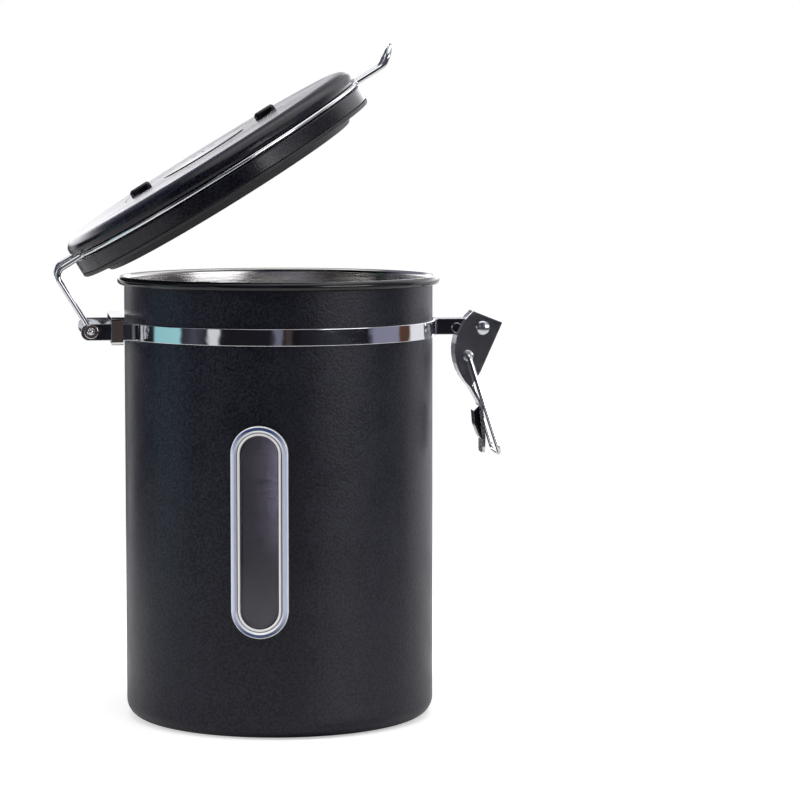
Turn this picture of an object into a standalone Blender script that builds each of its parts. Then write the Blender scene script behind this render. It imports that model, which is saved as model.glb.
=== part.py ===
# Coffee canister with a clamp lid. A deep steel shell with a rolled rim and a clear window carries two
# straps: their ends make the hinge ears and the latch lug. A wire hangs the lid on the ears, and the lid
# holds a date ring and a one-way gas valve. A lever with a wire bail pulls the lid's hook down.
# Metres, +Z up. The origin is the centre of the base. The latch is towards +X, the hinge towards -X and
# the front towards -Y. The lid stands open at rest, as it does on a table while the canister is in use.

import math

import bmesh
import bpy
from mathutils import Vector

mm = 0.001

# Clearances, overrun of every cut, and facet counts
fit_gap = 0.3 * mm
running_gap = 0.25 * mm
cut_overrun = 2.0 * mm
weld_distance = 0.001 * mm
round_steps = 60
small_steps = 20
corner_steps = 5

# Shell
shell_height = 172.0 * mm
body_radius = 60.0 * mm
shell_wall = 0.7 * mm
bead_radius = 1.7 * mm
base_corner_radius = 6.5 * mm
base_corner_steps = 6
bead_steps = 15

# Window, measured along the wall
window_azimuth = math.radians(-102.3)
window_bottom_height = 38.45 * mm
window_width = 22.0 * mm
window_length = 80.5 * mm
window_raise = 2.1 * mm
window_edge_height = 0.9 * mm
window_flange_width = 3.4 * mm
window_lip_width = 0.95 * mm
window_lip_drop = 0.9 * mm
window_pane_rise = 0.7 * mm
window_pane_thickness = 1.5 * mm
window_plug_inset = 2.55 * mm
window_plug_wall = 1.4 * mm
window_seal_thickness = 0.5 * mm
window_frame_thickness = 0.8 * mm
window_frame_border = 0.6 * mm
window_plug_length = 2.7 * mm
window_nose_steps = 8
window_arc_steps = 6
window_columns = 4

# Straps round the shell, with the hinge ears and the latch lug
strap_width = 6.4 * mm
strap_thickness = 0.8 * mm
strap_below_rim = 20.5 * mm
strap_bend_radius = 1.6 * mm
strap_end_flat = 1.0 * mm
ear_spacing = 41.0 * mm
ear_nose = 3.8 * mm
lug_spacing = 6.4 * mm
lug_nose = 3.2 * mm

# Hinge: keeper hoop, eyelets and pivot, with their distances from the shell's wall
hinge_from_wall = 13.5 * mm
hinge_above_strap = 0.3 * mm
keeper_from_wall = 1.3 * mm
keeper_length = 4.5 * mm
keeper_thickness = 0.7 * mm
keeper_headroom = 1.5 * mm
keeper_footroom = 0.8 * mm
keeper_corner_radius = 1.4 * mm
eyelet_wall = 0.45 * mm
eyelet_flange_radius = 2.7 * mm
eyelet_flange_thickness = 0.45 * mm

# Lid: angle at rest, and the sizes of its pieces above and below its wire groove
open_angle = math.radians(31.7)
wire_recess = 0.5 * mm
cover_top = 7.7 * mm
cover_crown = 0.25 * mm
cover_edge_inset = 0.4 * mm
cover_edge_height = 1.0 * mm
cover_shoulder_height = 3.2 * mm
cover_shoulder_width = 7.5 * mm
cover_shoulder_steps = 7
cover_wall = 1.5 * mm
spigot_height = 3.0 * mm
spigot_wall = 1.5 * mm
collar_bottom = 6.7 * mm
collar_lip = 0.65 * mm
base_plate_thickness = 1.5 * mm
hub_bottom = 9.6 * mm
hub_taper = 4.2 * mm

# Seal under the lid
seal_flange_thickness = 1.65 * mm
seal_flange_corner = 1.0 * mm
seal_web = 1.3 * mm
seal_seat_gap = 0.15 * mm
seal_leg = 0.55 * mm
seal_mouth_gap = 0.8 * mm
seal_root = 2.8 * mm
seal_lip_drop = 1.8 * mm
seal_lip_reach = 3.0 * mm
seal_lip_foot = 1.9 * mm

# Wire that carries the lid
wire_radius = 1.0 * mm
leg_bend_radius = 4.0 * mm
pin_bend_radius = 1.5 * mm
pin_overhang = 0.6 * mm
groove_exit_radius = 2.4 * mm
hook_spacing = 12.4 * mm
hook_run = 12.5 * mm
hook_tip_run = 6.6 * mm
hook_tip_rise = 5.0 * mm
hook_bend_radius = 5.0 * mm
wire_arc_step = math.radians(4.0)
wire_sides = 2

# Date ring with two finger tabs
ring_radius = 35.6 * mm
ring_thickness = 1.1 * mm
ring_step_thickness = 0.5 * mm
ring_step_width = 2.0 * mm
ring_bore_radius = 16.2 * mm
tab_margin = 2.85 * mm
tab_length = 8.9 * mm
tab_width = 3.4 * mm
tab_height = 2.6 * mm
tab_edge_radius = 0.9 * mm
edge_steps = 3

# Valve cap, body, disc, retainer and filter
cap_thickness = 0.7 * mm
cap_crown = 0.4 * mm
cap_skirt_wall = 1.6 * mm
cap_stem_radius = 9.2 * mm
cap_stem_wall = 1.5 * mm
cap_stem_drop = 1.2 * mm
cap_slot_count = 6
cap_slot_reach = 4.6 * mm
cap_slot_length = 3.4 * mm
cap_slot_width = 0.9 * mm
valve_radius = 8.8 * mm
valve_wall = 1.4 * mm
valve_rim = 0.2 * mm
valve_floor = 0.8 * mm
valve_flange_radius = 11.5 * mm
valve_flange_thickness = 0.8 * mm
valve_hole_count = 6
valve_hole_radius = 0.9 * mm
valve_hole_reach = 4.3 * mm
valve_hole_steps = 10
valve_disc_thickness = 0.8 * mm
valve_lift = 0.6 * mm
retainer_thickness = 0.7 * mm
retainer_bore_radius = 4.4 * mm
filter_radius = 11.0 * mm
filter_thickness = 0.8 * mm

# Latch: lever pivot and rivets, then the cheeks and the handle measured from the pivot
lever_from_wall = 19.6 * mm
lever_below_strap = 0.5 * mm
lug_rivet_before_lever = 10.0 * mm
lug_rivet_radius = 1.2 * mm
lug_rivet_head_radius = 2.0 * mm
lug_rivet_head_thickness = 0.45 * mm
spacer_wall = 0.9 * mm
lever_rivet_radius = 1.4 * mm
lever_rivet_head_radius = 2.75 * mm
lever_rivet_head_rise = 1.0 * mm
lever_rivet_head_steps = 5
cheek_thickness = 1.0 * mm
cheek_arc_radius = 20.2 * mm
cheek_arc_centre = Vector((9.3 * mm, -8.9 * mm))
cheek_arc_start = math.radians(130.0)
cheek_arc_end = math.radians(226.0)
cheek_arc_steps = 12
cheek_heel = Vector((-0.9 * mm, -17.4 * mm))
cheek_shoulder = Vector((7.8 * mm, 2.0 * mm))
handle_bend = Vector((-0.3 * mm, -30.2 * mm))
handle_middle = Vector((0.8 * mm, -43.0 * mm))
handle_end = Vector((0.6 * mm, -49.3 * mm))
handle_bend_radius = 6.0 * mm
handle_corner_radius = 2.6 * mm

# Thumb pad on the handle
pad_length = 13.6 * mm
pad_thickness = 2.3 * mm
pad_width = 9.0 * mm
pad_edge_radius = 0.6 * mm
pad_start_share = 0.03
pad_crest_share = 0.14
pad_slope_share = 0.55
pad_foot_share = 0.9
pad_foot_thickness_share = 0.4

# Wire bail: its pivot on the cheeks, and the seat on the lid's hook that sets its length
bail_pivot = Vector((-5.75 * mm, -10.8 * mm))
bail_radius = 0.9 * mm
bail_tilt = math.radians(17.5)
bail_seat_inset = 2.0 * mm
bail_seat_gap = 0.35 * mm
bail_side_gap = 1.1 * mm
bail_standoff = 1.0 * mm
bail_corner_radius = 3.0 * mm
bail_pin_bend_radius = 1.4 * mm
bail_pin_inset = 0.4 * mm

# Shell, straps, hinge and latch, worked out from the sizes above
inner_radius = body_radius - shell_wall
bead_centre_radius = inner_radius + bead_radius
bead_centre_height = shell_height - bead_radius
bead_outer_radius = bead_centre_radius + bead_radius
window_middle_height = window_bottom_height + window_length / 2
strap_middle_height = shell_height - strap_below_rim
strap_low = strap_middle_height - strap_width / 2
strap_high = strap_middle_height + strap_width / 2
strap_corner_radius = (strap_width - strap_end_flat) / 2
ear_inner = (ear_spacing - strap_thickness) / 2
ear_outer = (ear_spacing + strap_thickness) / 2
lug_inner = (lug_spacing - strap_thickness) / 2
lug_outer = (lug_spacing + strap_thickness) / 2
hinge_reach = body_radius + hinge_from_wall
hinge_height = strap_middle_height + hinge_above_strap
hinge_pivot = Vector((-hinge_reach, 0, hinge_height))
ear_reach = hinge_reach + ear_nose
keeper_inner = body_radius + keeper_from_wall
eyelet_bore = wire_radius + running_gap
eyelet_radius = eyelet_bore + eyelet_wall
eyelet_face = ear_outer + running_gap + eyelet_flange_thickness
lever_reach = body_radius + lever_from_wall
lever_height = strap_middle_height - lever_below_strap
lever_pivot = Vector((lever_reach, 0, lever_height))
lug_rivet_reach = lever_reach - lug_rivet_before_lever
lug_rivet_face = lug_outer + running_gap + lug_rivet_head_thickness
cheek_inner = lug_rivet_face + fit_gap
cheek_outer = cheek_inner + cheek_thickness

# Lid, worked out from the sizes above. Its heights are measured from the groove, up or down
lid_radius = bead_outer_radius + 2 * fit_gap + seal_leg + collar_lip
groove_half_height = wire_radius + running_gap
groove_floor_radius = lid_radius - wire_recess - 2 * wire_radius - fit_gap
base_plate_bottom = -groove_half_height - 2 * base_plate_thickness
groove_above_rim = seal_seat_gap + seal_web + fit_gap - base_plate_bottom
groove_height = shell_height + groove_above_rim
seal_lip_top_radius = inner_radius - seal_mouth_gap
hub_top_radius = seal_lip_top_radius - seal_root - fit_gap
hub_bottom_radius = hub_top_radius - hub_taper
seal_lip_bottom_radius = hub_bottom_radius + seal_lip_reach
leg_spacing = 2 * (ear_inner - 2 * fit_gap - wire_radius)
pin_end = eyelet_face + pin_overhang
hook_bend_reach = lid_radius + hook_run
hook_tip_reach = hook_bend_reach + hook_tip_run
bail_spacing = hook_spacing + 2 * (wire_radius + bail_side_gap + bail_radius)
tab_reach = ring_radius - tab_margin - tab_length / 2
recess_floor = cover_top - ring_thickness - fit_gap
cover_ceiling = recess_floor - cover_wall
cap_stem_bottom = cover_ceiling - cap_stem_drop
valve_bore_radius = valve_radius - valve_wall
valve_body_bottom = fit_gap - hub_bottom
valve_disc_bottom = valve_body_bottom + valve_floor + fit_gap
valve_disc_top = valve_disc_bottom + valve_disc_thickness
retainer_bottom = valve_disc_top + valve_lift + fit_gap
retainer_top = retainer_bottom + retainer_thickness
valve_body_top = retainer_top + valve_rim

colours = {
    "black_coat": ((0.018, 0.018, 0.020), 0.62, 0.0),
    "black_plastic": ((0.020, 0.020, 0.023), 0.5, 0.0),
    "gloss_black": ((0.010, 0.010, 0.012), 0.22, 0.0),
    "silicone": ((0.028, 0.028, 0.030), 0.55, 0.0),
    "clear_plastic": ((0.86, 0.89, 0.93), 0.08, 0.0),
    "clear_silicone": ((0.75, 0.77, 0.79), 0.4, 0.0),
    "chrome": ((0.80, 0.81, 0.83), 0.08, 1.0),
    "steel": ((0.62, 0.61, 0.59), 0.3, 1.0),
    "filter_paper": ((0.70, 0.68, 0.62), 0.9, 0.0),
}


def clear_scene():
    for item in list(bpy.data.objects):
        bpy.data.objects.remove(item, do_unlink=True)


def material(kind):
    found = bpy.data.materials.get(kind)
    if found:
        return found
    colour, roughness, metallic = colours[kind]
    made = bpy.data.materials.new(kind)
    made.use_nodes = True
    shader = made.node_tree.nodes["Principled BSDF"]
    shader.inputs["Base Color"].default_value = (*colour, 1.0)
    shader.inputs["Roughness"].default_value = roughness
    shader.inputs["Metallic"].default_value = metallic
    return made


def empty(name, location, parent=None, turn=0.0):
    frame = bpy.data.objects.new(name, None)
    bpy.context.scene.collection.objects.link(frame)
    frame.location = location
    frame.rotation_euler = (0, turn, 0)
    frame.parent = parent
    return frame


def add_object(name, data, kind, parent=None, location=(0, 0, 0)):
    item = bpy.data.objects.new(name, data)
    bpy.context.scene.collection.objects.link(item)
    item.location = location
    item.parent = parent
    data.materials.append(material(kind))
    return item


def add_solid(name, shape, kind, parent=None, location=(0, 0, 0)):
    bmesh.ops.recalc_face_normals(shape, faces=shape.faces[:])
    data = bpy.data.meshes.new(name)
    shape.to_mesh(data)
    shape.free()
    data.shade_smooth()
    data.set_sharp_from_angle(angle=math.radians(32))
    return add_object(name, data, kind, parent, location)


def combine(item, other, operation):
    # The second object stays as a hidden helper of the first.
    other.hide_render = True
    other.display_type = "WIRE"
    change = item.modifiers.new(other.name, "BOOLEAN")
    change.operation = operation
    change.solver = "EXACT"
    change.object = other
    return item


def arc(centre, radius, start, end, steps):
    angles = [start + (end - start) * i / steps for i in range(steps + 1)]
    return [Vector((centre[0] + radius * math.cos(a), centre[1] + radius * math.sin(a))) for a in angles]


def rounded(points, radii, steps=corner_steps):
    # Replaces each inner corner of a path by an arc of its radius, in two or three dimensions.
    path = [points[0]]
    for before, corner, after, radius in zip(points, points[1:], points[2:], radii):
        if radius == 0:
            path.append(corner)
            continue
        back = (before - corner).normalized()
        ahead = (after - corner).normalized()
        half = back.angle(ahead) / 2
        reach = radius / math.tan(half)
        middle = corner + (back + ahead).normalized() * (radius / math.sin(half))
        first = corner + back * reach - middle
        last = corner + ahead * reach - middle
        sweep = first.angle(last)
        for i in range(steps + 1):
            share = i / steps
            blend = first * math.sin((1 - share) * sweep) + last * math.sin(share * sweep)
            path.append(middle + blend / math.sin(sweep))
    path.append(points[-1])
    return path


def turn_profile(shape, profile, base=Vector((0, 0, 0)), axis=Vector((0, 0, 1)), steps=round_steps):
    # Spins a profile of (radius, height) points about an axis. A profile off the axis is closed first.
    side = axis.orthogonal().normalized() if axis.z == 0 else Vector((1, 0, 0))
    corners = [shape.verts.new(base + side * r + axis * h) for r, h in profile]
    closed = profile[0][0] > 0
    ends = corners[1:] + corners[:1] if closed else corners[1:]
    edges = [shape.edges.new(pair) for pair in zip(corners, ends)]
    turned = corners + edges
    bmesh.ops.spin(shape, geom=turned, axis=axis, cent=base, angle=math.tau, steps=steps)
    bmesh.ops.remove_doubles(shape, verts=shape.verts[:], dist=weld_distance)
    return shape


def turned_solid(name, profile, kind, parent=None, location=(0, 0, 0), steps=round_steps):
    return add_solid(name, turn_profile(bmesh.new(), profile, steps=steps), kind, parent, location)


def push(shape, faces, offset):
    # Extrudes the faces by the offset and keeps the first ones, so the result is closed.
    made = bmesh.ops.extrude_face_region(shape, geom=faces, use_keep_orig=True)["geom"]
    moved = [v for v in made if isinstance(v, bmesh.types.BMVert)]
    bmesh.ops.translate(shape, verts=moved, vec=offset)


def plate(shape, outline, low, high):
    # A flat plate in the XZ plane, from low to high along Y.
    face = shape.faces.new([shape.verts.new((p[0], low, p[1])) for p in outline])
    push(shape, [face], Vector((0, high - low, 0)))
    return shape


def strip_sides(path, thickness, closed=False):
    # The two sides of a strip of sheet that follows a path in its plane.
    count = len(path)
    left = []
    right = []
    for i, point in enumerate(path):
        before = path[(i - 1) % count] if closed or i else point
        after = path[(i + 1) % count] if closed or i < count - 1 else point
        along = (after - before).normalized()
        across = Vector((-along[1], along[0])) * thickness / 2
        left.append(point + across)
        right.append(point - across)
    return left, right


def strip(shape, path, thickness, low, high, to_space, closed=False):
    # Sheet along a path, from low to high across it. to_space turns (a, b, depth) into a place.
    left, right = strip_sides(path, thickness, closed)
    left = [shape.verts.new(to_space(p[0], p[1], low)) for p in left]
    right = [shape.verts.new(to_space(p[0], p[1], low)) for p in right]
    rows = list(zip(left, right))
    pairs = zip(rows, rows[1:] + rows[:1]) if closed else zip(rows, rows[1:])
    faces = [shape.faces.new((a[0], b[0], b[1], a[1])) for a, b in pairs]
    push(shape, faces, to_space(0, 0, high) - to_space(0, 0, low))
    return shape


def flat_xy(a, b, depth):
    return Vector((a, b, depth))


def flat_xz(a, b, depth):
    return Vector((a, depth, b))


def flat_yz(a, b, depth):
    return Vector((depth, a, b))


def round_edges(shape, edges, radius, steps=corner_steps):
    bmesh.ops.bevel(shape, geom=edges, offset=radius, segments=steps, affect="EDGES", profile=0.5)


def cylinder(name, radius, centre, axis, length, steps=small_steps):
    ends = [(0, -length / 2), (radius, -length / 2), (radius, length / 2), (0, length / 2)]
    return add_solid(name, turn_profile(bmesh.new(), ends, centre, axis, steps), "steel")


def tube(name, points, radius, kind, parent=None, location=(0, 0, 0)):
    data = bpy.data.curves.new(name, "CURVE")
    data.dimensions = "3D"
    data.bevel_depth = radius
    data.bevel_resolution = wire_sides
    data.use_fill_caps = True
    spline = data.splines.new("POLY")
    spline.points.add(len(points) - 1)
    for place, point in zip(spline.points, points):
        place.co = (*point, 1)
    return add_object(name, data, kind, parent, location)


# Shell and window


def shell_profile():
    # Up the outside, round the rolled rim and down the inside, from the axis back to the axis.
    corner_centre = (body_radius - base_corner_radius, base_corner_radius)
    inner_corner = base_corner_radius - shell_wall
    bead_centre = (bead_centre_radius, bead_centre_height)
    meeting = math.acos((body_radius - bead_centre_radius) / bead_radius)
    profile = [Vector((0, 0))]
    profile += arc(corner_centre, base_corner_radius, -math.pi / 2, 0, base_corner_steps)
    profile += arc(bead_centre, bead_radius, -meeting, math.pi, bead_steps)
    profile += arc(corner_centre, inner_corner, 0, -math.pi / 2, corner_steps)
    profile.append(Vector((0, shell_wall)))
    return profile


def window_rows(inset):
    # Half widths and heights of a round-ended slot, from the top row down to the bottom row.
    radius = window_width / 2 - inset
    straight = (window_length - window_width) / 2
    step = math.pi / 2 / window_arc_steps
    quarter = [(i + 0.5) * step for i in range(window_arc_steps)]
    top = [(radius * math.sin(a), straight + radius * math.cos(a)) for a in quarter]
    bottom = [(across, -up) for across, up in reversed(top)]
    return top + [(radius, straight), (radius, -straight)] + bottom


def window_row(across, up):
    # Evenly spaced points of one row, from left to right.
    return [(across * (2 * k / window_columns - 1), up) for k in range(window_columns + 1)]


def window_place(across, up, radius):
    # Distances along the wall are bent round it at the body's radius.
    azimuth = window_azimuth + across / body_radius
    height = window_middle_height + up
    return Vector((radius * math.cos(azimuth), radius * math.sin(azimuth), height))


def window_loop(shape, inset, radius):
    # Clockwise round the slot: the top row, the right side, the bottom row and the left side.
    rows = window_rows(inset)
    right = rows[1:-1]
    left = [(-across, up) for across, up in reversed(right)]
    loop = window_row(*rows[0]) + right + window_row(*rows[-1])[::-1] + left
    return [shape.verts.new(window_place(across, up, radius)) for across, up in loop]


def window_cap(shape, loop, inset, radius):
    # Rows across the slot close the first or last loop of a solid window piece.
    sides = window_rows(inset)[1:-1]
    width = window_columns + 1
    count = len(sides)
    rows = [loop[:width]]
    for i, (across, up) in enumerate(sides):
        middle = [shape.verts.new(window_place(a, u, radius)) for a, u in window_row(across, up)[1:-1]]
        rows.append([loop[-1 - i]] + middle + [loop[width + i]])
    rows.append(loop[width + count : 2 * width + count][::-1])
    for above, below in zip(rows, rows[1:]):
        for k in range(window_columns):
            shape.faces.new((above[k], above[k + 1], below[k + 1], below[k]))


def window_piece(name, section, kind, solid):
    # Sweeps a section of (inset, radius) points round the slot. A solid piece is capped at both ends.
    shape = bmesh.new()
    loops = [window_loop(shape, inset, radius) for inset, radius in section]
    pairs = zip(loops, loops[1:]) if solid else zip(loops, loops[1:] + loops[:1])
    for a, b in pairs:
        for i in range(len(a)):
            j = (i + 1) % len(a)
            shape.faces.new((a[i], a[j], b[j], b[i]))
    if solid:
        window_cap(shape, loops[0], *section[0])
        window_cap(shape, loops[-1], *section[-1])
    return add_solid(name, shape, kind)


def build_shell():
    shell = turned_solid("canister_shell", shell_profile(), "black_coat")
    slot_inset = window_plug_inset - fit_gap
    slot_section = [(slot_inset, inner_radius - cut_overrun), (slot_inset, body_radius + cut_overrun)]
    slot = window_piece("window_slot_cutter", slot_section, "steel", solid=True)
    combine(shell, slot, "DIFFERENCE")


def build_window():
    back = body_radius + fit_gap
    front = body_radius + window_raise
    edge = back + window_edge_height
    nose_depth = front - edge
    nose_width = window_flange_width / 2
    pane_front = body_radius + window_pane_rise
    pane_back = pane_front - window_pane_thickness
    plug_end = back - window_plug_length
    plug_inside = window_plug_inset + window_plug_wall
    lip = window_flange_width + window_lip_width
    turns = [math.pi * k / window_nose_steps for k in range(window_nose_steps - 1)]
    nose = [(nose_width - nose_width * math.cos(a), edge + nose_depth * math.sin(a)) for a in turns]
    section = [(plug_inside, pane_back), (plug_inside, plug_end), (window_plug_inset, plug_end)]
    section += [(window_plug_inset, back), (0, back)]
    section += nose
    section += [(window_flange_width, front - window_lip_drop), (lip, pane_front)]
    window_piece("window_pane", section, "clear_plastic", solid=True)

    hole = window_plug_inset - fit_gap
    seal_out = inner_radius - fit_gap
    seal_in = seal_out - window_seal_thickness
    seal = [(hole, seal_in), (hole, seal_out), (0, seal_out), (0, seal_in)]
    window_piece("window_gasket", seal, "clear_silicone", solid=False)

    frame_out = seal_in - fit_gap
    frame_in = frame_out - window_frame_thickness
    border = -window_frame_border
    frame = [(hole, frame_in), (hole, frame_out), (border, frame_out), (border, frame_in)]
    window_piece("window_frame", frame, "clear_plastic", solid=False)


# Straps, hinge and lug


def strap_path(side):
    # From the ear's end round half of the shell to the lug's nose. side is -1 at the front, 1 at the rear.
    radius = body_radius + fit_gap + strap_thickness / 2
    ear = ear_spacing / 2
    lug = lug_spacing / 2
    ear_angle = math.pi - math.asin(ear / radius)
    lug_angle = math.asin(lug / radius)
    steps = round_steps // 2 - 2
    round_part = arc((0, 0), radius, ear_angle, lug_angle, steps)
    points = [Vector((-ear_reach, ear))] + round_part + [Vector((lever_reach + lug_nose, lug))]
    radii = [strap_bend_radius] + [0] * (len(round_part) - 2) + [strap_bend_radius]
    return [Vector((p[0], side * p[1])) for p in rounded(points, radii)]


def build_strap(name, side):
    path = strap_path(side)
    shape = strip(bmesh.new(), path, strap_thickness, strap_low, strap_high, flat_xy)
    nose = lever_reach + lug_nose

    def at_end(place):
        return place.x < weld_distance - ear_reach or place.x > nose - weld_distance

    ends = [e for e in shape.edges if all(at_end(v.co) for v in e.verts)]
    across = [e for e in ends if abs(e.verts[0].co.z - e.verts[1].co.z) < weld_distance]
    round_edges(shape, across, strap_corner_radius)
    strap = add_solid(name, shape, "chrome")
    ear_place = Vector((-hinge_reach, side * ear_spacing / 2, hinge_height))
    rivet_place = Vector((lug_rivet_reach, side * lug_spacing / 2, lever_height))
    pivot_place = Vector((lever_reach, side * lug_spacing / 2, lever_height))
    depth = strap_thickness + cut_overrun
    holes = (
        ("eyelet", eyelet_radius, ear_place),
        ("rivet", lug_rivet_radius, rivet_place),
        ("pivot", lever_rivet_radius, pivot_place),
    )
    for label, radius, centre in holes:
        cutter = cylinder(f"{name}_{label}_cutter", radius + running_gap, centre, Vector((0, 1, 0)), depth)
        combine(strap, cutter, "DIFFERENCE")


def build_keeper():
    # A hoop of thin sheet round both ears, which keeps them from spreading.
    half_width = ear_outer + fit_gap + keeper_thickness / 2
    low = strap_low - fit_gap - keeper_footroom - keeper_thickness / 2
    high = strap_high + fit_gap + keeper_headroom + keeper_thickness / 2
    middle = Vector((0, (low + high) / 2))
    corner = Vector((half_width, (high - low) / 2))
    r = keeper_corner_radius
    centres = [(1, 1, 0), (-1, 1, math.pi / 2), (-1, -1, math.pi), (1, -1, 3 * math.pi / 2)]
    path = []
    for sign_y, sign_z, start in centres:
        centre = middle + Vector((sign_y * (corner[0] - r), sign_z * (corner[1] - r)))
        path += arc(centre, r, start, start + math.pi / 2, corner_steps)
    outer = -keeper_inner - keeper_length
    shape = strip(bmesh.new(), path, keeper_thickness, outer, -keeper_inner, flat_yz, closed=True)
    add_solid("hinge_keeper", shape, "chrome")


def build_eyelets():
    inner_end = leg_spacing / 2 + wire_radius + fit_gap
    flange_face = eyelet_face - eyelet_flange_thickness
    profile = [
        (eyelet_bore, inner_end),
        (eyelet_radius, inner_end),
        (eyelet_radius, flange_face),
        (eyelet_flange_radius, flange_face),
        (eyelet_flange_radius, eyelet_face),
        (eyelet_bore, eyelet_face),
    ]
    for name, side in (("eyelet_front", -1), ("eyelet_rear", 1)):
        shape = turn_profile(bmesh.new(), profile, hinge_pivot, Vector((0, side, 0)), small_steps)
        add_solid(name, shape, "chrome")


def build_lug_fasteners():
    head_out = lug_rivet_face
    head_in = head_out - lug_rivet_head_thickness
    profile = [
        (0, -head_out),
        (lug_rivet_head_radius, -head_out),
        (lug_rivet_head_radius, -head_in),
        (lug_rivet_radius, -head_in),
        (lug_rivet_radius, head_in),
        (lug_rivet_head_radius, head_in),
        (lug_rivet_head_radius, head_out),
        (0, head_out),
    ]
    rivet_place = Vector((lug_rivet_reach, 0, lever_height))
    along = Vector((0, 1, 0))
    rivet = turn_profile(bmesh.new(), profile, rivet_place, along, small_steps)
    add_solid("lug_rivet", rivet, "chrome")

    half = lug_inner - fit_gap
    spacers = (
        ("lug_spacer", rivet_place, lug_rivet_radius),
        ("lever_spacer", lever_pivot, lever_rivet_radius),
    )
    for name, place, pin_radius in spacers:
        bore = pin_radius + running_gap
        outer = bore + spacer_wall
        ring = [(bore, -half), (outer, -half), (outer, half), (bore, half)]
        add_solid(name, turn_profile(bmesh.new(), ring, place, along, small_steps), "steel")


# Lid, in a frame whose origin is on the lid's axis at the height of its wire groove


def cover_profile():
    edge_radius = lid_radius - cover_edge_inset
    rim_inner = groove_floor_radius + fit_gap
    shoulder_height = cover_top - cover_shoulder_height
    shoulder_radius = lid_radius - cover_shoulder_width
    turns = [math.pi / 2 * k / cover_shoulder_steps for k in range(cover_shoulder_steps + 1)]
    shoulder = [
        Vector((
            shoulder_radius + cover_shoulder_width * math.cos(a),
            cover_shoulder_height + (shoulder_height - cover_crown) * math.sin(a),
        ))
        for a in turns
    ]
    recess_radius = ring_radius + fit_gap
    hole_radius = cap_stem_radius + fit_gap
    spigot_room = spigot_height + fit_gap
    return [
        Vector((rim_inner, groove_half_height)),
        Vector((edge_radius, groove_half_height)),
        Vector((lid_radius, groove_half_height + cover_edge_height)),
        *shoulder,
        Vector((recess_radius, cover_top)),
        Vector((recess_radius, recess_floor)),
        Vector((hole_radius, recess_floor)),
        Vector((hole_radius, cover_ceiling)),
        Vector((shoulder_radius, cover_ceiling)),
        Vector((rim_inner, spigot_room)),
    ]


def base_profile():
    collar_inner = lid_radius - collar_lip
    shelf = -groove_half_height
    plate_top = shelf - base_plate_thickness
    spigot_inner = groove_floor_radius - spigot_wall
    hole_radius = valve_radius + running_gap
    floor_top = base_plate_thickness - hub_bottom
    inside_bottom_radius = hub_bottom_radius - base_plate_thickness
    inside_top_radius = hub_top_radius - base_plate_thickness
    return [
        Vector((hole_radius, -hub_bottom)),
        Vector((hub_bottom_radius, -hub_bottom)),
        Vector((hub_top_radius, base_plate_bottom)),
        Vector((collar_inner, base_plate_bottom)),
        Vector((collar_inner, -collar_bottom)),
        Vector((lid_radius, -collar_bottom)),
        Vector((lid_radius, shelf)),
        Vector((groove_floor_radius, shelf)),
        Vector((groove_floor_radius, spigot_height)),
        Vector((spigot_inner, spigot_height)),
        Vector((spigot_inner, plate_top)),
        Vector((inside_top_radius, plate_top)),
        Vector((inside_bottom_radius, floor_top)),
        Vector((hole_radius, floor_top)),
    ]


def seal_profile():
    # The flange shows under the collar, the web lies on the rim and the lip tapers into the mouth.
    leg_inner = bead_outer_radius + fit_gap
    leg_outer = leg_inner + seal_leg
    web_bottom = fit_gap - groove_above_rim
    web_top = web_bottom + seal_web
    flange_top = -collar_bottom - fit_gap
    flange_bottom = flange_top - seal_flange_thickness
    corner = seal_flange_corner
    corner_centre = (lid_radius - corner, flange_bottom + corner)
    lip_inner_radius = hub_bottom_radius + fit_gap
    lip_bottom = -hub_bottom - seal_lip_drop
    return [
        Vector((seal_lip_bottom_radius - seal_lip_foot, lip_bottom)),
        Vector((seal_lip_bottom_radius, lip_bottom)),
        Vector((seal_lip_top_radius, web_bottom)),
        Vector((leg_inner, web_bottom)),
        Vector((leg_inner, flange_bottom)),
        *arc(corner_centre, corner, -math.pi / 2, 0, corner_steps),
        Vector((lid_radius, flange_top)),
        Vector((leg_outer, flange_top)),
        Vector((leg_outer, web_top)),
        Vector((hub_top_radius + fit_gap, web_top)),
        Vector((lip_inner_radius, fit_gap - hub_bottom)),
    ]


def wire_path():
    # From the front pin up the leg, round the groove to the hook, and back the same way at the rear.
    radius = groove_floor_radius + fit_gap + wire_radius
    leg = leg_spacing / 2
    hook = hook_spacing / 2
    drop = hinge_height - groove_height
    leg_angle = math.pi - math.asin(leg / radius)
    hook_angle = math.asin(hook / radius)
    steps = round((leg_angle - hook_angle) / wire_arc_step)
    groove = [Vector((*p, 0)) for p in arc((0, 0), radius, leg_angle, hook_angle, steps)]
    half = [Vector((-hinge_reach, pin_end, drop)), Vector((-hinge_reach, leg, drop))]
    half += [Vector((-hinge_reach, leg, 0))] + groove
    half += [Vector((hook_bend_reach, hook, 0)), Vector((hook_tip_reach, hook, hook_tip_rise))]
    bends = [pin_bend_radius, leg_bend_radius, groove_exit_radius]
    bends += [0] * (len(groove) - 2)
    bends += [groove_exit_radius, hook_bend_radius]
    tip = hook_spacing / 2 - wire_radius / 2
    front = [Vector((p.x, -p.y, p.z)) for p in half]
    rear = half[::-1]
    path = front + rear
    radii = bends + [tip, tip] + bends[::-1]
    return rounded(path, radii)


def ring_profile():
    bottom = recess_floor + fit_gap
    step = bottom + ring_step_thickness
    step_radius = ring_bore_radius + ring_step_width
    return [
        Vector((ring_bore_radius, bottom)),
        Vector((ring_radius, bottom)),
        Vector((ring_radius, cover_top)),
        Vector((step_radius, cover_top)),
        Vector((step_radius, step)),
        Vector((ring_bore_radius, step)),
    ]


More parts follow.
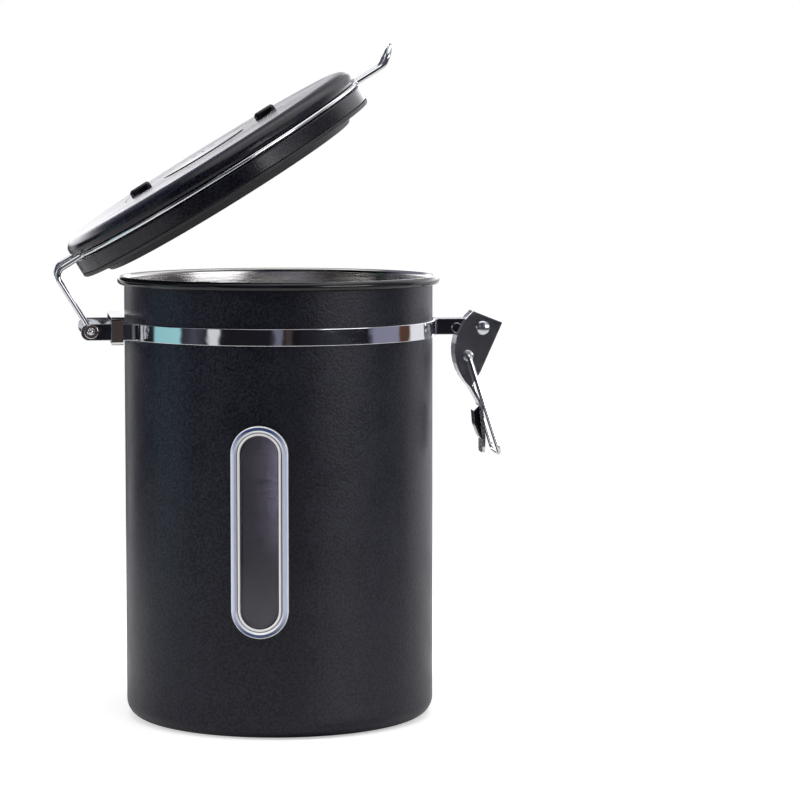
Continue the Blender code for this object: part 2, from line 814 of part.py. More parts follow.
def finger_tab(name, side, parent, location):
    straight = (tab_length - tab_width) / 2
    radius = tab_width / 2
    centre = side * tab_reach
    right = arc((centre + straight, 0), radius, -math.pi / 2, math.pi / 2, corner_steps + 1)
    left = arc((centre - straight, 0), radius, math.pi / 2, 3 * math.pi / 2, corner_steps + 1)
    shape = bmesh.new()
    low = cover_top - ring_thickness / 2
    face = shape.faces.new([shape.verts.new((p[0], p[1], low)) for p in right + left])
    push(shape, [face], Vector((0, 0, cover_top + tab_height - low)))
    top = [e for e in shape.edges if all(v.co.z > cover_top for v in e.verts)]
    round_edges(shape, top, tab_edge_radius, edge_steps)
    return add_solid(name, shape, "gloss_black", parent, location)


def cap_profile():
    step_top = recess_floor + fit_gap + ring_step_thickness
    low = step_top + fit_gap
    high = low + cap_thickness
    edge = ring_bore_radius + ring_step_width - fit_gap
    skirt_outer = ring_bore_radius - fit_gap
    skirt_inner = skirt_outer - cap_skirt_wall
    stem_inner = cap_stem_radius - cap_stem_wall
    seat = recess_floor + fit_gap
    return [
        Vector((0, low)),
        Vector((stem_inner, low)),
        Vector((stem_inner, cap_stem_bottom)),
        Vector((cap_stem_radius, cap_stem_bottom)),
        Vector((cap_stem_radius, low)),
        Vector((skirt_inner, low)),
        Vector((skirt_inner, seat)),
        Vector((skirt_outer, seat)),
        Vector((skirt_outer, low)),
        Vector((edge, low)),
        Vector((edge, high)),
        Vector((cap_stem_radius, high + cap_crown)),
        Vector((0, high + cap_crown)),
    ]


def valve_profile():
    floor_top = valve_body_bottom + valve_floor
    flange_bottom = base_plate_thickness - hub_bottom + fit_gap
    flange_top = flange_bottom + valve_flange_thickness
    return [
        Vector((0, valve_body_bottom)),
        Vector((valve_radius, valve_body_bottom)),
        Vector((valve_radius, flange_bottom)),
        Vector((valve_flange_radius, flange_bottom)),
        Vector((valve_flange_radius, flange_top)),
        Vector((valve_radius, flange_top)),
        Vector((valve_radius, valve_body_top)),
        Vector((valve_bore_radius, valve_body_top)),
        Vector((valve_bore_radius, floor_top)),
        Vector((0, floor_top)),
    ]


def build_lid(frame):
    place = Vector((0, 0, groove_height)) - hinge_pivot
    turned_solid("lid_cover", cover_profile(), "black_plastic", frame, place)
    turned_solid("lid_base", base_profile(), "black_plastic", frame, place)
    turned_solid("seal_gasket", seal_profile(), "silicone", frame, place)
    tube("lid_wire", wire_path(), wire_radius, "chrome", frame, place)

    ring = turned_solid("date_ring", ring_profile(), "black_plastic", frame, place)
    for label, side in (("left", -1), ("right", 1)):
        combine(ring, finger_tab(f"finger_tab_{label}", side, frame, place), "UNION")

    cap = turned_solid("valve_cap", cap_profile(), "gloss_black", frame, place, 2 * small_steps)
    low = cap_stem_bottom
    for k in range(cap_slot_count):
        angle = math.tau * (k + 0.5) / cap_slot_count
        slot = bmesh.new()
        ahead = Vector((math.cos(angle), math.sin(angle), 0))
        across = Vector((-ahead.y, ahead.x, 0)) * cap_slot_width / 2
        near = ahead * (cap_slot_reach - cap_slot_length / 2)
        far = ahead * (cap_slot_reach + cap_slot_length / 2)
        corners = (near - across, far - across, far + across, near + across)
        face = slot.faces.new([slot.verts.new((p.x, p.y, low)) for p in corners])
        push(slot, [face], Vector((0, 0, cover_top + cut_overrun - low)))
        cutter = add_solid(f"cap_slot_cutter_{k}", slot, "steel", frame, place)
        combine(cap, cutter, "DIFFERENCE")

    body = turned_solid("valve_body", valve_profile(), "black_plastic", frame, place, 2 * small_steps)
    depth = 2 * (valve_floor + cut_overrun)
    for k in range(valve_hole_count):
        angle = math.tau * k / valve_hole_count
        centre = Vector((math.cos(angle), math.sin(angle), 0)) * valve_hole_reach
        centre.z = valve_body_bottom
        label = f"valve_hole_cutter_{k}"
        cutter = cylinder(label, valve_hole_radius, centre, Vector((0, 0, 1)), depth, valve_hole_steps)
        cutter.parent = frame
        cutter.location = place
        combine(body, cutter, "DIFFERENCE")

    edge = valve_bore_radius - fit_gap
    disc = [(0, valve_disc_bottom), (edge, valve_disc_bottom), (edge, valve_disc_top), (0, valve_disc_top)]
    turned_solid("valve_disc", disc, "silicone", frame, place, 2 * small_steps)

    keep = [
        (retainer_bore_radius, retainer_bottom),
        (edge, retainer_bottom),
        (edge, retainer_top),
        (retainer_bore_radius, retainer_top),
    ]
    turned_solid("valve_retainer", keep, "steel", frame, place, 2 * small_steps)

    top = -hub_bottom - fit_gap
    low = top - filter_thickness
    sheet = [(0, low), (filter_radius, low), (filter_radius, top), (0, top)]
    turned_solid("valve_filter", sheet, "filter_paper", frame, place, 2 * small_steps)


# Latch, in a frame whose origin is the lever's pivot


def lever_edge():
    # The rounded edge of the cheeks that faces the shell, from the top down to the tip.
    return arc(cheek_arc_centre, cheek_arc_radius, cheek_arc_start, cheek_arc_end, cheek_arc_steps)


def lever_sheet():
    # The web starts under the lug, follows the rounded edge inside it and runs on as the handle.
    radius = cheek_arc_radius - cheek_thickness / 2
    lug_low = strap_low - lever_height - fit_gap
    start = math.pi - math.asin((lug_low - cheek_arc_centre[1]) / radius)
    web = arc(cheek_arc_centre, radius, start, cheek_arc_end, cheek_arc_steps // 2)
    bends = [handle_bend_radius, handle_bend_radius]
    handle = rounded([web[-1], handle_bend, handle_middle, handle_end], bends)
    return web + handle[1:]


def build_lever(frame):
    outline = lever_edge() + [cheek_heel, cheek_shoulder]
    front_cheek = plate(bmesh.new(), outline, -cheek_outer, -cheek_inner)
    rear_cheek = plate(bmesh.new(), outline, cheek_inner, cheek_outer)
    front = add_solid("latch_lever", front_cheek, "chrome", frame)
    rear = add_solid("lever_rear_cheek", rear_cheek, "chrome", frame)
    sheet = strip(bmesh.new(), lever_sheet(), cheek_thickness, -cheek_outer, cheek_outer, flat_xz)
    lowest = min(v.co.z for v in sheet.verts)
    ends = [e for e in sheet.edges if all(v.co.z < lowest + cheek_thickness for v in e.verts)]
    corners = [e for e in ends if abs(e.verts[0].co.y - e.verts[1].co.y) < weld_distance]
    round_edges(sheet, corners, handle_corner_radius)
    handle = add_solid("lever_handle", sheet, "chrome", frame)
    combine(front, rear, "UNION")
    combine(front, handle, "UNION")
    along = Vector((0, 1, 0))
    width = 2 * cheek_outer + cut_overrun
    pivot_place = Vector((0, 0, 0))
    bail_place = Vector((bail_pivot[0], 0, bail_pivot[1]))
    pivot_bore = lever_rivet_radius + running_gap
    pivot_hole = cylinder("lever_pivot_cutter", pivot_bore, pivot_place, along, width)
    bail_hole = cylinder("lever_bail_cutter", bail_radius + running_gap, bail_place, along, width)
    for cutter in (pivot_hole, bail_hole):
        cutter.parent = frame
        combine(front, cutter, "DIFFERENCE")


def build_lever_rivet(frame):
    face = cheek_outer + running_gap
    turns = [math.pi / 2 * k / lever_rivet_head_steps for k in range(lever_rivet_head_steps)]
    dome = [
        (lever_rivet_head_radius * math.cos(a), face + lever_rivet_head_rise * math.sin(a)) for a in turns
    ]
    dome.append((0, face + lever_rivet_head_rise))
    upper = [(lever_rivet_radius, face)] + dome
    lower = [(r, -h) for r, h in reversed(upper)]
    profile = [Vector(p) for p in lower + upper]
    rivet = turn_profile(bmesh.new(), profile, Vector((0, 0, 0)), Vector((0, 1, 0)), small_steps)
    add_solid("lever_rivet", rivet, "chrome", frame)


def build_pad(frame):
    # A rounded pad on the side of the handle that faces the shell, with its flat side to the sheet.
    start = handle_bend
    along = (handle_middle - handle_bend).normalized()
    inward = Vector((along[1], -along[0]))
    if inward[0] > 0:
        inward = -inward
    back = start + along * pad_length * pad_start_share + inward * (cheek_thickness / 2 + fit_gap)
    outline = [
        back,
        back + along * pad_length * pad_crest_share + inward * pad_thickness,
        back + along * pad_length * pad_slope_share + inward * pad_thickness,
        back + along * pad_length * pad_foot_share + inward * pad_thickness * pad_foot_thickness_share,
        back + along * pad_length,
    ]
    shape = plate(bmesh.new(), outline, -pad_width / 2, pad_width / 2)

    def is_raised(place):
        return (Vector((place.x, place.z)) - back).dot(inward) > fit_gap

    raised = [e for e in shape.edges if any(is_raised(v.co) for v in e.verts)]
    round_edges(shape, raised, pad_edge_radius, edge_steps)
    add_solid("thumb_pad", shape, "gloss_black", frame)


def bail_length():
    # The bail just reaches over the hook's legs when the lid is down and the lever is locked.
    pivot = Vector((lever_reach + bail_pivot[0], lever_height + bail_pivot[1]))
    seat_height = groove_height + wire_radius + bail_seat_gap + bail_radius
    seat = Vector((hook_bend_reach - bail_seat_inset, seat_height))
    return (seat - pivot).length


def build_bail(frame):
    near = cheek_outer + bail_standoff + bail_radius
    far = bail_spacing / 2
    down = Vector((math.sin(bail_tilt), 0, -math.cos(bail_tilt))) * bail_length()
    half = [Vector((0, cheek_inner - bail_pin_inset, 0)), Vector((0, near, 0)), Vector((0, far, 0)) + down]
    front = [Vector((p.x, -p.y, p.z)) for p in half]
    radii = [bail_pin_bend_radius, bail_corner_radius, bail_corner_radius, bail_pin_bend_radius]
    tube("latch_bail", rounded(front + half[::-1], radii), bail_radius, "chrome", frame)


def build():
    clear_scene()
    build_shell()
    build_window()
    build_strap("strap_front", -1)
    build_strap("strap_rear", 1)
    build_keeper()
    build_eyelets()
    build_lug_fasteners()
    lid_frame = empty("lid_hinge_axis", hinge_pivot, turn=-open_angle)
    build_lid(lid_frame)
    lever_frame = empty("lever_axis", lever_pivot)
    build_lever(lever_frame)
    build_lever_rivet(lever_frame)
    build_pad(lever_frame)
    bail_frame = empty("bail_axis", Vector((bail_pivot[0], 0, bail_pivot[1])), lever_frame)
    build_bail(bail_frame)


build()
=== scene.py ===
# Coffee canister with a clamp lid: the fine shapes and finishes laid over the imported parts.
# Lengths are given in millimetres and multiplied by mm. The lid is modelled shut and then swung open.
import math

import bmesh
import bpy
from mathutils import Matrix, Vector


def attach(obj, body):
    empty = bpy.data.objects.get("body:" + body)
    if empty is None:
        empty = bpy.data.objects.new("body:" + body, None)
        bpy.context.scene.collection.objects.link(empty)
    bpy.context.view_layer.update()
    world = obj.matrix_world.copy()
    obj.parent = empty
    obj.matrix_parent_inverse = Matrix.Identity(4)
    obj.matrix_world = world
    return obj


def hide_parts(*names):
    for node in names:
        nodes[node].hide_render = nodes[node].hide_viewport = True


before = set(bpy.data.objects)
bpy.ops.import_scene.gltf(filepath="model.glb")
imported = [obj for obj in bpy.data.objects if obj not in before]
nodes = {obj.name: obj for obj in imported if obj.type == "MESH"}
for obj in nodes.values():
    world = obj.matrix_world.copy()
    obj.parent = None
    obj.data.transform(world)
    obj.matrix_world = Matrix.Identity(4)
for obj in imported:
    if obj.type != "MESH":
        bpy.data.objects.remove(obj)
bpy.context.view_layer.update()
mm = 0.001
play = 0.25  # Room of a pin or a rivet in its hole.
gap = 0.3  # Room between pieces that lie side by side.
crease = math.radians(35)  # Edges that fold by more than this are shaded sharp.


# Shared shaping tools

def filletPath(corners, closed=True, steps=6, hold=0.04 * mm):
    # Corners are (a, b) or (a, b, fillet) in mm. Each fillet becomes an arc between two held points, which
    # keep the shading of the flats beside it flat.
    path = []
    count = len(corners)
    for index, corner in enumerate(corners):
        spot = Vector(corner[:2]) * mm
        fillet = corner[2] * mm if len(corner) > 2 else 0
        if fillet == 0 or (not closed and index in (0, count - 1)):
            path.append(spot)
            continue
        back = (Vector(corners[index - 1][:2]) * mm - spot).normalized()
        ahead = (Vector(corners[(index + 1) % count][:2]) * mm - spot).normalized()
        half = back.angle(ahead) / 2
        centre = spot + (back + ahead).normalized() * fillet / math.sin(half)
        first = spot + back * fillet / math.tan(half) - centre
        last = spot + ahead * fillet / math.tan(half) - centre
        sweep = first.angle(last)
        path.append(centre + first + back * hold)
        for k in range(steps + 1):
            share = k / steps
            blend = first * math.sin((1 - share) * sweep) + last * math.sin(share * sweep)
            path.append(centre + blend / math.sin(sweep))
        path.append(centre + last + ahead * hold)
    return path


def arcPoints(centreA, centreB, radius, start, end, steps, rise=None):
    # Corners of an arc from one angle in degrees to another. With a rise it is part of an oval.
    points = []
    for k in range(steps + 1):
        angle = math.radians(start + (end - start) * k / steps)
        points.append((centreA + radius * math.cos(angle),
                       centreB + (radius if rise is None else rise) * math.sin(angle)))
    return points


def placed(name, data):
    thing = bpy.data.objects.new(name, data)
    bpy.context.scene.collection.objects.link(thing)
    return thing


def finishedMesh(thing):
    # A mesh of its own, with the modifiers of the thing applied.
    return bpy.data.meshes.new_from_object(thing.evaluated_get(bpy.context.evaluated_depsgraph_get()))


def applyChanges(piece):
    finished = finishedMesh(piece)
    piece.modifiers.clear()
    piece.data = finished


def makePiece(name, shape, finishes, place=None, sharpAngle=crease):
    bmesh.ops.recalc_face_normals(shape, faces=shape.faces[:])
    mesh = bpy.data.meshes.new(name)
    shape.to_mesh(mesh)
    shape.free()
    if place is not None:
        mesh.transform(place)
    mesh.shade_smooth()
    mesh.set_sharp_from_angle(angle=sharpAngle)
    for finish in finishes if isinstance(finishes, list) else [finishes]:
        mesh.materials.append(finish)
    return placed(name, mesh)


def skinRings(shape, rings, closed=False, zones=None):
    # Faces between each ring and the next, in the finish that zones gives for that step. A ring on an axis
    # is one point repeated, and makes triangles.
    for index, (a, b) in enumerate(zip(rings, rings[1:] + rings[:1] if closed else rings[1:])):
        for k in range(len(a)):
            n = (k + 1) % len(a)
            corners = list(dict.fromkeys([a[k], a[n], b[n], b[k]]))
            if len(corners) > 2:
                shape.faces.new(corners).material_index = zones[index] if zones else 0


def capRings(shape, rings):
    shape.faces.new(rings[0])
    shape.faces.new(rings[-1][::-1])


def turnedPiece(name, corners, finishes, steps, place=None, zone=None):
    # Turns (radius, height) corners about the Z axis. A profile that starts off the axis is closed.
    closed = corners[0][0] > 0
    profile = filletPath(corners, closed)
    turns = [math.tau * k / steps for k in range(steps)]
    shape = bmesh.new()
    rings = []
    for r, z in profile:
        if r < 0.0001 * mm:
            rings.append([shape.verts.new((0, 0, z))] * steps)
        else:
            rings.append([shape.verts.new((r * math.cos(t), r * math.sin(t), z)) for t in turns])
    zones = [zone((a + b) / 2) for a, b in zip(profile, profile[1:])] if zone else None
    skinRings(shape, rings, closed, zones)
    return makePiece(name, shape, finishes, place)


def alongY(centre, side=1):
    # Turns a turned piece's Z axis to run along Y, outwards on the given side.
    return Matrix.Translation(centre) @ Matrix.Rotation(-side * math.pi / 2, 4, "X")


def roundBar(name, look, side, layers, steps, place):
    # A bar with round ends that points outwards, from layers of (inset, height).
    shape = bmesh.new()
    straight = (look["length"] - look["width"]) / 2
    rings = []
    for inset, height in layers:
        radius = look["width"] / 2 - inset
        outline = (arcPoints(side * look["reach"] + straight, 0, radius, -90, 90, steps)
                   + arcPoints(side * look["reach"] - straight, 0, radius, 90, 270, steps))
        rings.append([shape.verts.new(Vector((a, b, height)) * mm) for a, b in outline])
    skinRings(shape, rings)
    capRings(shape, rings)
    return makePiece(name, shape, glossPlastic, place)


def sweepStrip(name, path, widthAxis, look, finish, closed=False):
    # Sheet with rounded edges along a path of 3D points. An open one gets the round ends of its look.
    widthAxis = Vector(widthAxis)
    halfWidths = [look["width"] / 2] * len(path)
    if not closed:
        path, halfWidths = roundStripEnds(path, look["width"] / 2, look["end"])
    half = look["thickness"] / 2
    edge = look["edge"]
    shape = bmesh.new()
    rings = []
    count = len(path)
    for index, (spot, wide) in enumerate(zip(path, halfWidths)):
        before = path[(index - 1) % count] if closed or index else spot
        after = path[(index + 1) % count] if closed or index < count - 1 else spot
        across = (after - before).normalized().cross(widthAxis).normalized()
        corners = [(a, b, edge) for a, b in ((half, wide), (-half, wide), (-half, -wide), (half, -wide))]
        section = filletPath(corners, steps=3, hold=0.3 * edge * mm)
        rings.append([shape.verts.new(spot + across * p.x + widthAxis * p.y) for p in section])
    skinRings(shape, rings, closed)
    if not closed:
        capRings(shape, rings)
    return makePiece(name, shape, finish)


def roundStripEnds(path, halfWidth, radius):
    # Adds stations near both ends, where the strip narrows on an arc. Returns the path and its half widths.
    marks = arcPoints(radius, halfWidth - radius, -radius, 8, 90, 7, radius)
    lengths = [0]
    for a, b in zip(path, path[1:]):
        lengths.append(lengths[-1] + (b - a).length / mm)
    total = lengths[-1]

    def at(distance):
        for k in range(len(path) - 1):
            if distance <= lengths[k + 1] or k == len(path) - 2:
                share = (distance - lengths[k]) / max(lengths[k + 1] - lengths[k], 1e-6)
                return path[k].lerp(path[k + 1], share)

    places = [(d - marks[0][0], h) for d, h in marks]
    middle = [(d, halfWidth) for d in lengths if radius < d < total - radius]
    rows = places + middle + [(total - d, h) for d, h in reversed(places)]
    return [at(d) for d, h in rows], [h for d, h in rows]


def cutPiece(piece, cutters):
    # Cuts the cutters out of a piece and leaves a plain mesh.
    for cutter in cutters:
        change = piece.modifiers.new("cut", "BOOLEAN")
        change.object = cutter
        change.solver = "EXACT"
    applyChanges(piece)
    piece.data.set_sharp_from_angle(angle=crease)
    for cutter in cutters:
        bpy.data.objects.remove(cutter)
    return piece


def dressed(piece, body, slot, *replaced):
    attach(piece, body)
    for node in replaced:
        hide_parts(node)
    return piece


# Finishes

def feed(tree, target, value):
    # Links an output to an input, or sets the input to a value. A colour is given without its alpha.
    if isinstance(value, bpy.types.NodeSocket):
        tree.links.new(value, target)
    else:
        target.default_value = (*value, 1) if target.type == "RGBA" else value


def addNode(tree, kind, *entries, **settings):
    # The entries fill the inputs in order. A setting goes to the input of its name, or else to the node.
    node = tree.nodes.new(kind)
    for key, value in settings.items():
        if key in node.inputs:
            feed(tree, node.inputs[key], value)
        else:
            setattr(node, key, value)
    for target, value in zip(node.inputs, entries):
        feed(tree, target, value)
    return node


def worked(tree, operation, *entries, clamp=False):
    return addNode(tree, "ShaderNodeMath", *entries, operation=operation, use_clamp=clamp).outputs[0]


def mapped(tree, source, fromLow, fromHigh, low=0.0, high=1.0):
    return addNode(tree, "ShaderNodeMapRange", source, fromLow, fromHigh, low, high).outputs[0]


def blended(tree, share, first, second, kind="RGBA"):
    # Each of the two is an output or a plain value, of colours or of numbers.
    node = addNode(tree, "ShaderNodeMix", share, data_type=kind)
    entry = {"FLOAT": 2, "RGBA": 6}[kind]
    feed(tree, node.inputs[entry], first)
    feed(tree, node.inputs[entry + 1], second)
    return node.outputs[{"FLOAT": 0, "RGBA": 2}[kind]]


def noise(tree, place, detail, roughness, scale=1.0):
    node = addNode(tree, "ShaderNodeTexNoise", place, Scale=scale, Detail=detail, Roughness=roughness)
    return node.outputs[0]


def startGroup(name, inputs):
    # A shader group with these number inputs and a Place input. Returns its tree and its entry node.
    tree = bpy.data.node_groups.new(name, "ShaderNodeTree")
    for label, value in inputs.items():
        made = tree.interface.new_socket(label, in_out="INPUT", socket_type="NodeSocketFloat")
        made.default_value = value
    tree.interface.new_socket("Place", in_out="INPUT", socket_type="NodeSocketVector")
    return tree, addNode(tree, "NodeGroupInput")


def endGroup(tree, results):
    for label in results:
        tree.interface.new_socket(label, in_out="OUTPUT", socket_type="NodeSocketFloat")
    addNode(tree, "NodeGroupOutput", *results.values())
    return tree


def scaledPlace(tree, entry, label, squeeze=(1, 1, 1)):
    # The Place input times the input of this label, squeezed along axes for stretched patterns.
    stretched = addNode(tree, "ShaderNodeVectorMath", entry.outputs["Place"], squeeze, operation="MULTIPLY")
    return addNode(tree, "ShaderNodeVectorMath", stretched.outputs[0], operation="SCALE",
                   Scale=entry.outputs[label]).outputs[0]


def grainGroup():
    # Fine moulded or sprayed grain: small cells over a slow unevenness.
    tree, entry = startGroup("fineGrain", {"Grain per metre": 2500, "Waves per metre": 60})
    fine = mapped(tree, noise(tree, scaledPlace(tree, entry, "Grain per metre"), 2.0, 0.55), 0.4, 0.6)
    slow = noise(tree, scaledPlace(tree, entry, "Waves per metre"), 3.0, 0.5)
    return endGroup(tree, {"Height": fine, "Patch": slow, "Tone": blended(tree, 0.7, slow, fine, "FLOAT")})


def brushGroup():
    # Long brush lines that run level round a wall.
    tree, entry = startGroup("levelBrush", {"Lines per metre": 14000})
    squeezed = scaledPlace(tree, entry, "Lines per metre", (0.0012, 0.0012, 1.0))
    lines = noise(tree, squeezed, 2.0, 0.6)
    return endGroup(tree, {"Height": lines, "Streak": noise(tree, squeezed, 3.0, 0.6, 0.2)})


def smudgeGroup():
    # Faint finger smudges, thin scratches and slow waves on polished metal.
    tree, entry = startGroup("handlingMarks", {"Smudges per metre": 90, "Scratches per metre": 700,
                                               "Waves per metre": 110})
    smudge = noise(tree, scaledPlace(tree, entry, "Smudges per metre"), 4.0, 0.6)
    scratch = noise(tree, scaledPlace(tree, entry, "Scratches per metre", (1, 0.06, 1.4)), 2.0, 0.5)
    wave = noise(tree, scaledPlace(tree, entry, "Waves per metre", (1, 1, 1.6)), 1.0, 0.4)
    return endGroup(tree, {"Smudge": smudge, "Scratch": scratch, "Wave": wave})


def endsGroup():
    # A mask that grows towards the two ends of an upright slot, from its middle height and straight half.
    #     # Along it the window rim's painted reflections change tone.
    tree, entry = startGroup("slotEnds", {"Middle": 0.0787, "Straight": 0.029, "Reach": 0.009})
    split = addNode(tree, "ShaderNodeSeparateXYZ", entry.outputs["Place"])
    away = worked(tree, "ABSOLUTE", worked(tree, "SUBTRACT", split.outputs["Z"], entry.outputs["Middle"]))
    past = worked(tree, "SUBTRACT", away, entry.outputs["Straight"])
    return endGroup(tree, {"Ends": worked(tree, "DIVIDE", past, entry.outputs["Reach"], clamp=True)})


def startMaterial(name, look):
    finish = bpy.data.materials.new(name)
    finish.use_nodes = True
    tree = finish.node_tree
    shader = tree.nodes["Principled BSDF"]
    feed(tree, shader.inputs["Base Color"], look["colour"])
    shader.inputs["Roughness"].default_value = look["roughness"]
    return finish, tree, shader


def startFinish(name, look, group):
    # A material whose group reads Object coordinates. Returns the material, its tree, shader and group node.
    finish, tree, shader = startMaterial(name, look)
    shader.inputs["Metallic"].default_value = look.get("metallic", 0.0)
    place = addNode(tree, "ShaderNodeTexCoord")
    pattern = addNode(tree, "ShaderNodeGroup", node_tree=group)
    feed(tree, pattern.inputs["Place"], place.outputs["Object"])
    return finish, tree, shader, pattern


def tint(tree, mask, shader, first, second):
    feed(tree, shader.inputs["Base Color"], blended(tree, mask, first, second))


def roughen(tree, mask, shader, low, high):
    feed(tree, shader.inputs["Roughness"], mapped(tree, mask, 0.3, 0.7, low, high))


def bump(tree, source, shader, distance, under=None):
    # Returns the relief's normal, which can lie under a second relief.
    relief = addNode(tree, "ShaderNodeBump", Strength=1.0, Distance=distance, Height=source)
    if under is not None:
        feed(tree, relief.inputs["Normal"], under)
    feed(tree, shader.inputs["Normal"], relief.outputs[0])
    return relief.outputs[0]


def grainFinish(name, look):
    finish, tree, shader, pattern = startFinish(name, look, grain)
    pattern.inputs["Grain per metre"].default_value = look["grainPerMetre"]
    shader.inputs["IOR"].default_value = look.get("bend", 1.5)
    change = look.get("roughSpread", 0.05)
    if "paler" in look:
        tint(tree, pattern.outputs["Tone"], shader, look["colour"], look["paler"])
    roughen(tree, pattern.outputs["Patch"], shader, look["roughness"] - change, look["roughness"] + change)
    bump(tree, pattern.outputs["Height"], shader, look["grainDepth"] * mm)
    return finish


def metalFinish(name, look, roughSpread=0.04, scratchDepth=0.002, waveDepth=0):
    finish, tree, shader, pattern = startFinish(name, look, marks)
    smudge = pattern.outputs["Smudge"]
    roughen(tree, smudge, shader, look["roughness"], look["roughness"] + roughSpread)
    tint(tree, smudge, shader, look["colour"], tuple(c * 0.93 for c in look["colour"]))
    fine = bump(tree, pattern.outputs["Scratch"], shader, scratchDepth * mm)
    if waveDepth:
        bump(tree, pattern.outputs["Wave"], shader, waveDepth * mm, fine)
    return finish


def brushedFinish(name, look, lineDepth=0.026, roughSpread=0.02):
    finish, tree, shader, pattern = startFinish(name, look, brush)
    streak = pattern.outputs["Streak"]
    tint(tree, streak, shader, look["colour"], tuple(c * 0.88 for c in look["colour"]))
    roughen(tree, streak, shader, look["roughness"] - roughSpread, look["roughness"] + roughSpread)
    bump(tree, pattern.outputs["Height"], shader, lineDepth * mm)
    return finish


def rimFinish(name, look):
    # The window's moulded rim in painted reflections and shade, which change from the straight sides to the
    # round ends.
    finish, tree, shader, pattern = startFinish(name, {"roughness": 0.2, **look}, slotEnds)
    tint(tree, pattern.outputs["Ends"], shader, look["colour"], look.get("ends", look["colour"]))
    shader.inputs["Coat Weight"].default_value = 0.5
    shader.inputs["Coat Roughness"].default_value = 0.05
    return finish


def clearFinish(name, look):
    finish, tree, shader, pattern = startFinish(name, look, grain)
    shader.inputs["Transmission Weight"].default_value = 1.0
    shader.inputs["IOR"].default_value = look["bend"]
    roughen(tree, pattern.outputs["Patch"], shader, look["roughness"], look["roughness"] + 0.05)
    return finish


coatLook = {"colour": (0.0001, 0.0001, 0.0032), "paler": (0.0155, 0.0160, 0.0275), "roughness": 0.34,
            "bend": 1.38, "grainPerMetre": 1100, "grainDepth": 0.022}
plasticLook = {"colour": (0.0002, 0.0002, 0.0026), "paler": (0.0105, 0.0108, 0.0180), "roughness": 0.21,
               "bend": 1.42, "grainPerMetre": 1100, "grainDepth": 0.009}
glossRimLook = {"colour": (0.004, 0.004, 0.006), "roughness": 0.15, "roughSpread": 0.03,
                "grainPerMetre": 900, "grainDepth": 0.004}
glossLook = {"colour": (0.004, 0.004, 0.0055), "roughness": 0.1, "roughSpread": 0.03,
             "grainPerMetre": 900, "grainDepth": 0.003}
siliconeLook = {"colour": (0.013, 0.013, 0.015), "paler": (0.02, 0.02, 0.023), "roughness": 0.5,
                "grainPerMetre": 900, "grainDepth": 0.006}
milkyLook = {"colour": (0.72, 0.74, 0.76), "roughness": 0.45, "grainPerMetre": 900, "grainDepth": 0.004}
paperLook = {"colour": (0.70, 0.68, 0.62), "paler": (0.58, 0.55, 0.49), "roughness": 0.9,
             "grainPerMetre": 2600, "grainDepth": 0.06}
printLook = {"colour": (0.55, 0.55, 0.56), "roughness": 0.6, "grainPerMetre": 2600, "grainDepth": 0.004}
chromeLook = {"colour": (0.80, 0.81, 0.83), "roughness": 0.04, "metallic": 1.0}
satinLook = {"colour": (0.72, 0.73, 0.76), "roughness": 0.16, "metallic": 1.0}
steelLook = {"colour": (0.60, 0.585, 0.57), "roughness": 0.07, "metallic": 1.0}
clearLook = {"colour": (0.80, 0.77, 0.94), "roughness": 0.03, "bend": 1.49}
# The window rim's colours are painted light standing in for the clear plastic's refraction. There is painted
# shade at the foot and in the groove, painted highlights on the outer bead and the lip, and painted
# reflections on the band and the inner slope. The ends colours are other painted reflections towards the
# round ends.
paintedRimLooks = {"rimFootPaintedShade": {"colour": (0.008, 0.008, 0.012), "roughness": 0.4},
            "rimOuterPaintedHighlight": {"colour": (0.96, 0.97, 0.99)},
            "rimBandPaintedReflection": {"colour": (0.58, 0.65, 0.84), "ends": (0.035, 0.06, 0.17)},
            "rimInnerPaintedReflection": {"colour": (0.47, 0.47, 0.58), "ends": (0.96, 0.97, 0.99)},
            "rimGroovePaintedShade": {"colour": (0.045, 0.035, 0.07)},
            "rimLipPaintedHighlight": {"colour": (0.88, 0.87, 0.85)}}

grain = grainGroup()
brush = brushGroup()
marks = smudgeGroup()
slotEnds = endsGroup()
blackCoat = grainFinish("blackCoat", coatLook)
blackPlastic = grainFinish("blackPlastic", plasticLook)
glossRim = grainFinish("glossRim", glossRimLook)
glossPlastic = grainFinish("glossPlastic", glossLook)
blackSilicone = grainFinish("blackSilicone", siliconeLook)
milkySilicone = grainFinish("milkySilicone", milkyLook)
filterFelt = grainFinish("filterFelt", paperLook)
whitePrint = grainFinish("whitePrint", printLook)
polishedChrome = metalFinish("polishedChrome", chromeLook)
strapChrome = metalFinish("strapChrome", chromeLook, waveDepth=0.16)
satinSteel = metalFinish("satinSteel", satinLook, 0.06, 0.004)
turnedSteel = metalFinish("turnedSteel", steelLook, 0.1)
brushedSteel = brushedFinish("brushedSteel", steelLook)
clearPane = clearFinish("clearPane", clearLook)
paintedRimFinishes = [rimFinish(name, look) for name, look in paintedRimLooks.items()]
print("finishes ready")


# Shell with its rolled rim, steel inside and slot for the window

shellLook = {"height": 172.0, "radius": 60.0, "wall": 0.7, "corner": 6.5, "bead": 1.7,
             "steelFrom": 118, "rows": 56, "steps": 240}
windowLook = {"azimuth": -102.3, "height": 78.7, "width": 22.0, "length": 80.5, "raise": 2.1,
              "foot": 0.3, "edge": 0.6, "bead": 2.75, "grooveRise": 1.35, "lipRise": 1.75, "lipStart": 2.95,
              "lipEnd": 3.85, "paneInset": 4.2, "paneRise": 0.7, "paneThickness": 1.5, "plugInset": 2.55,
              "plugWall": 1.4, "plugLength": 2.7, "soft": 0.1, "cutFrom": -3, "cutTo": 2, "arcSteps": 16,
              "columns": 10}


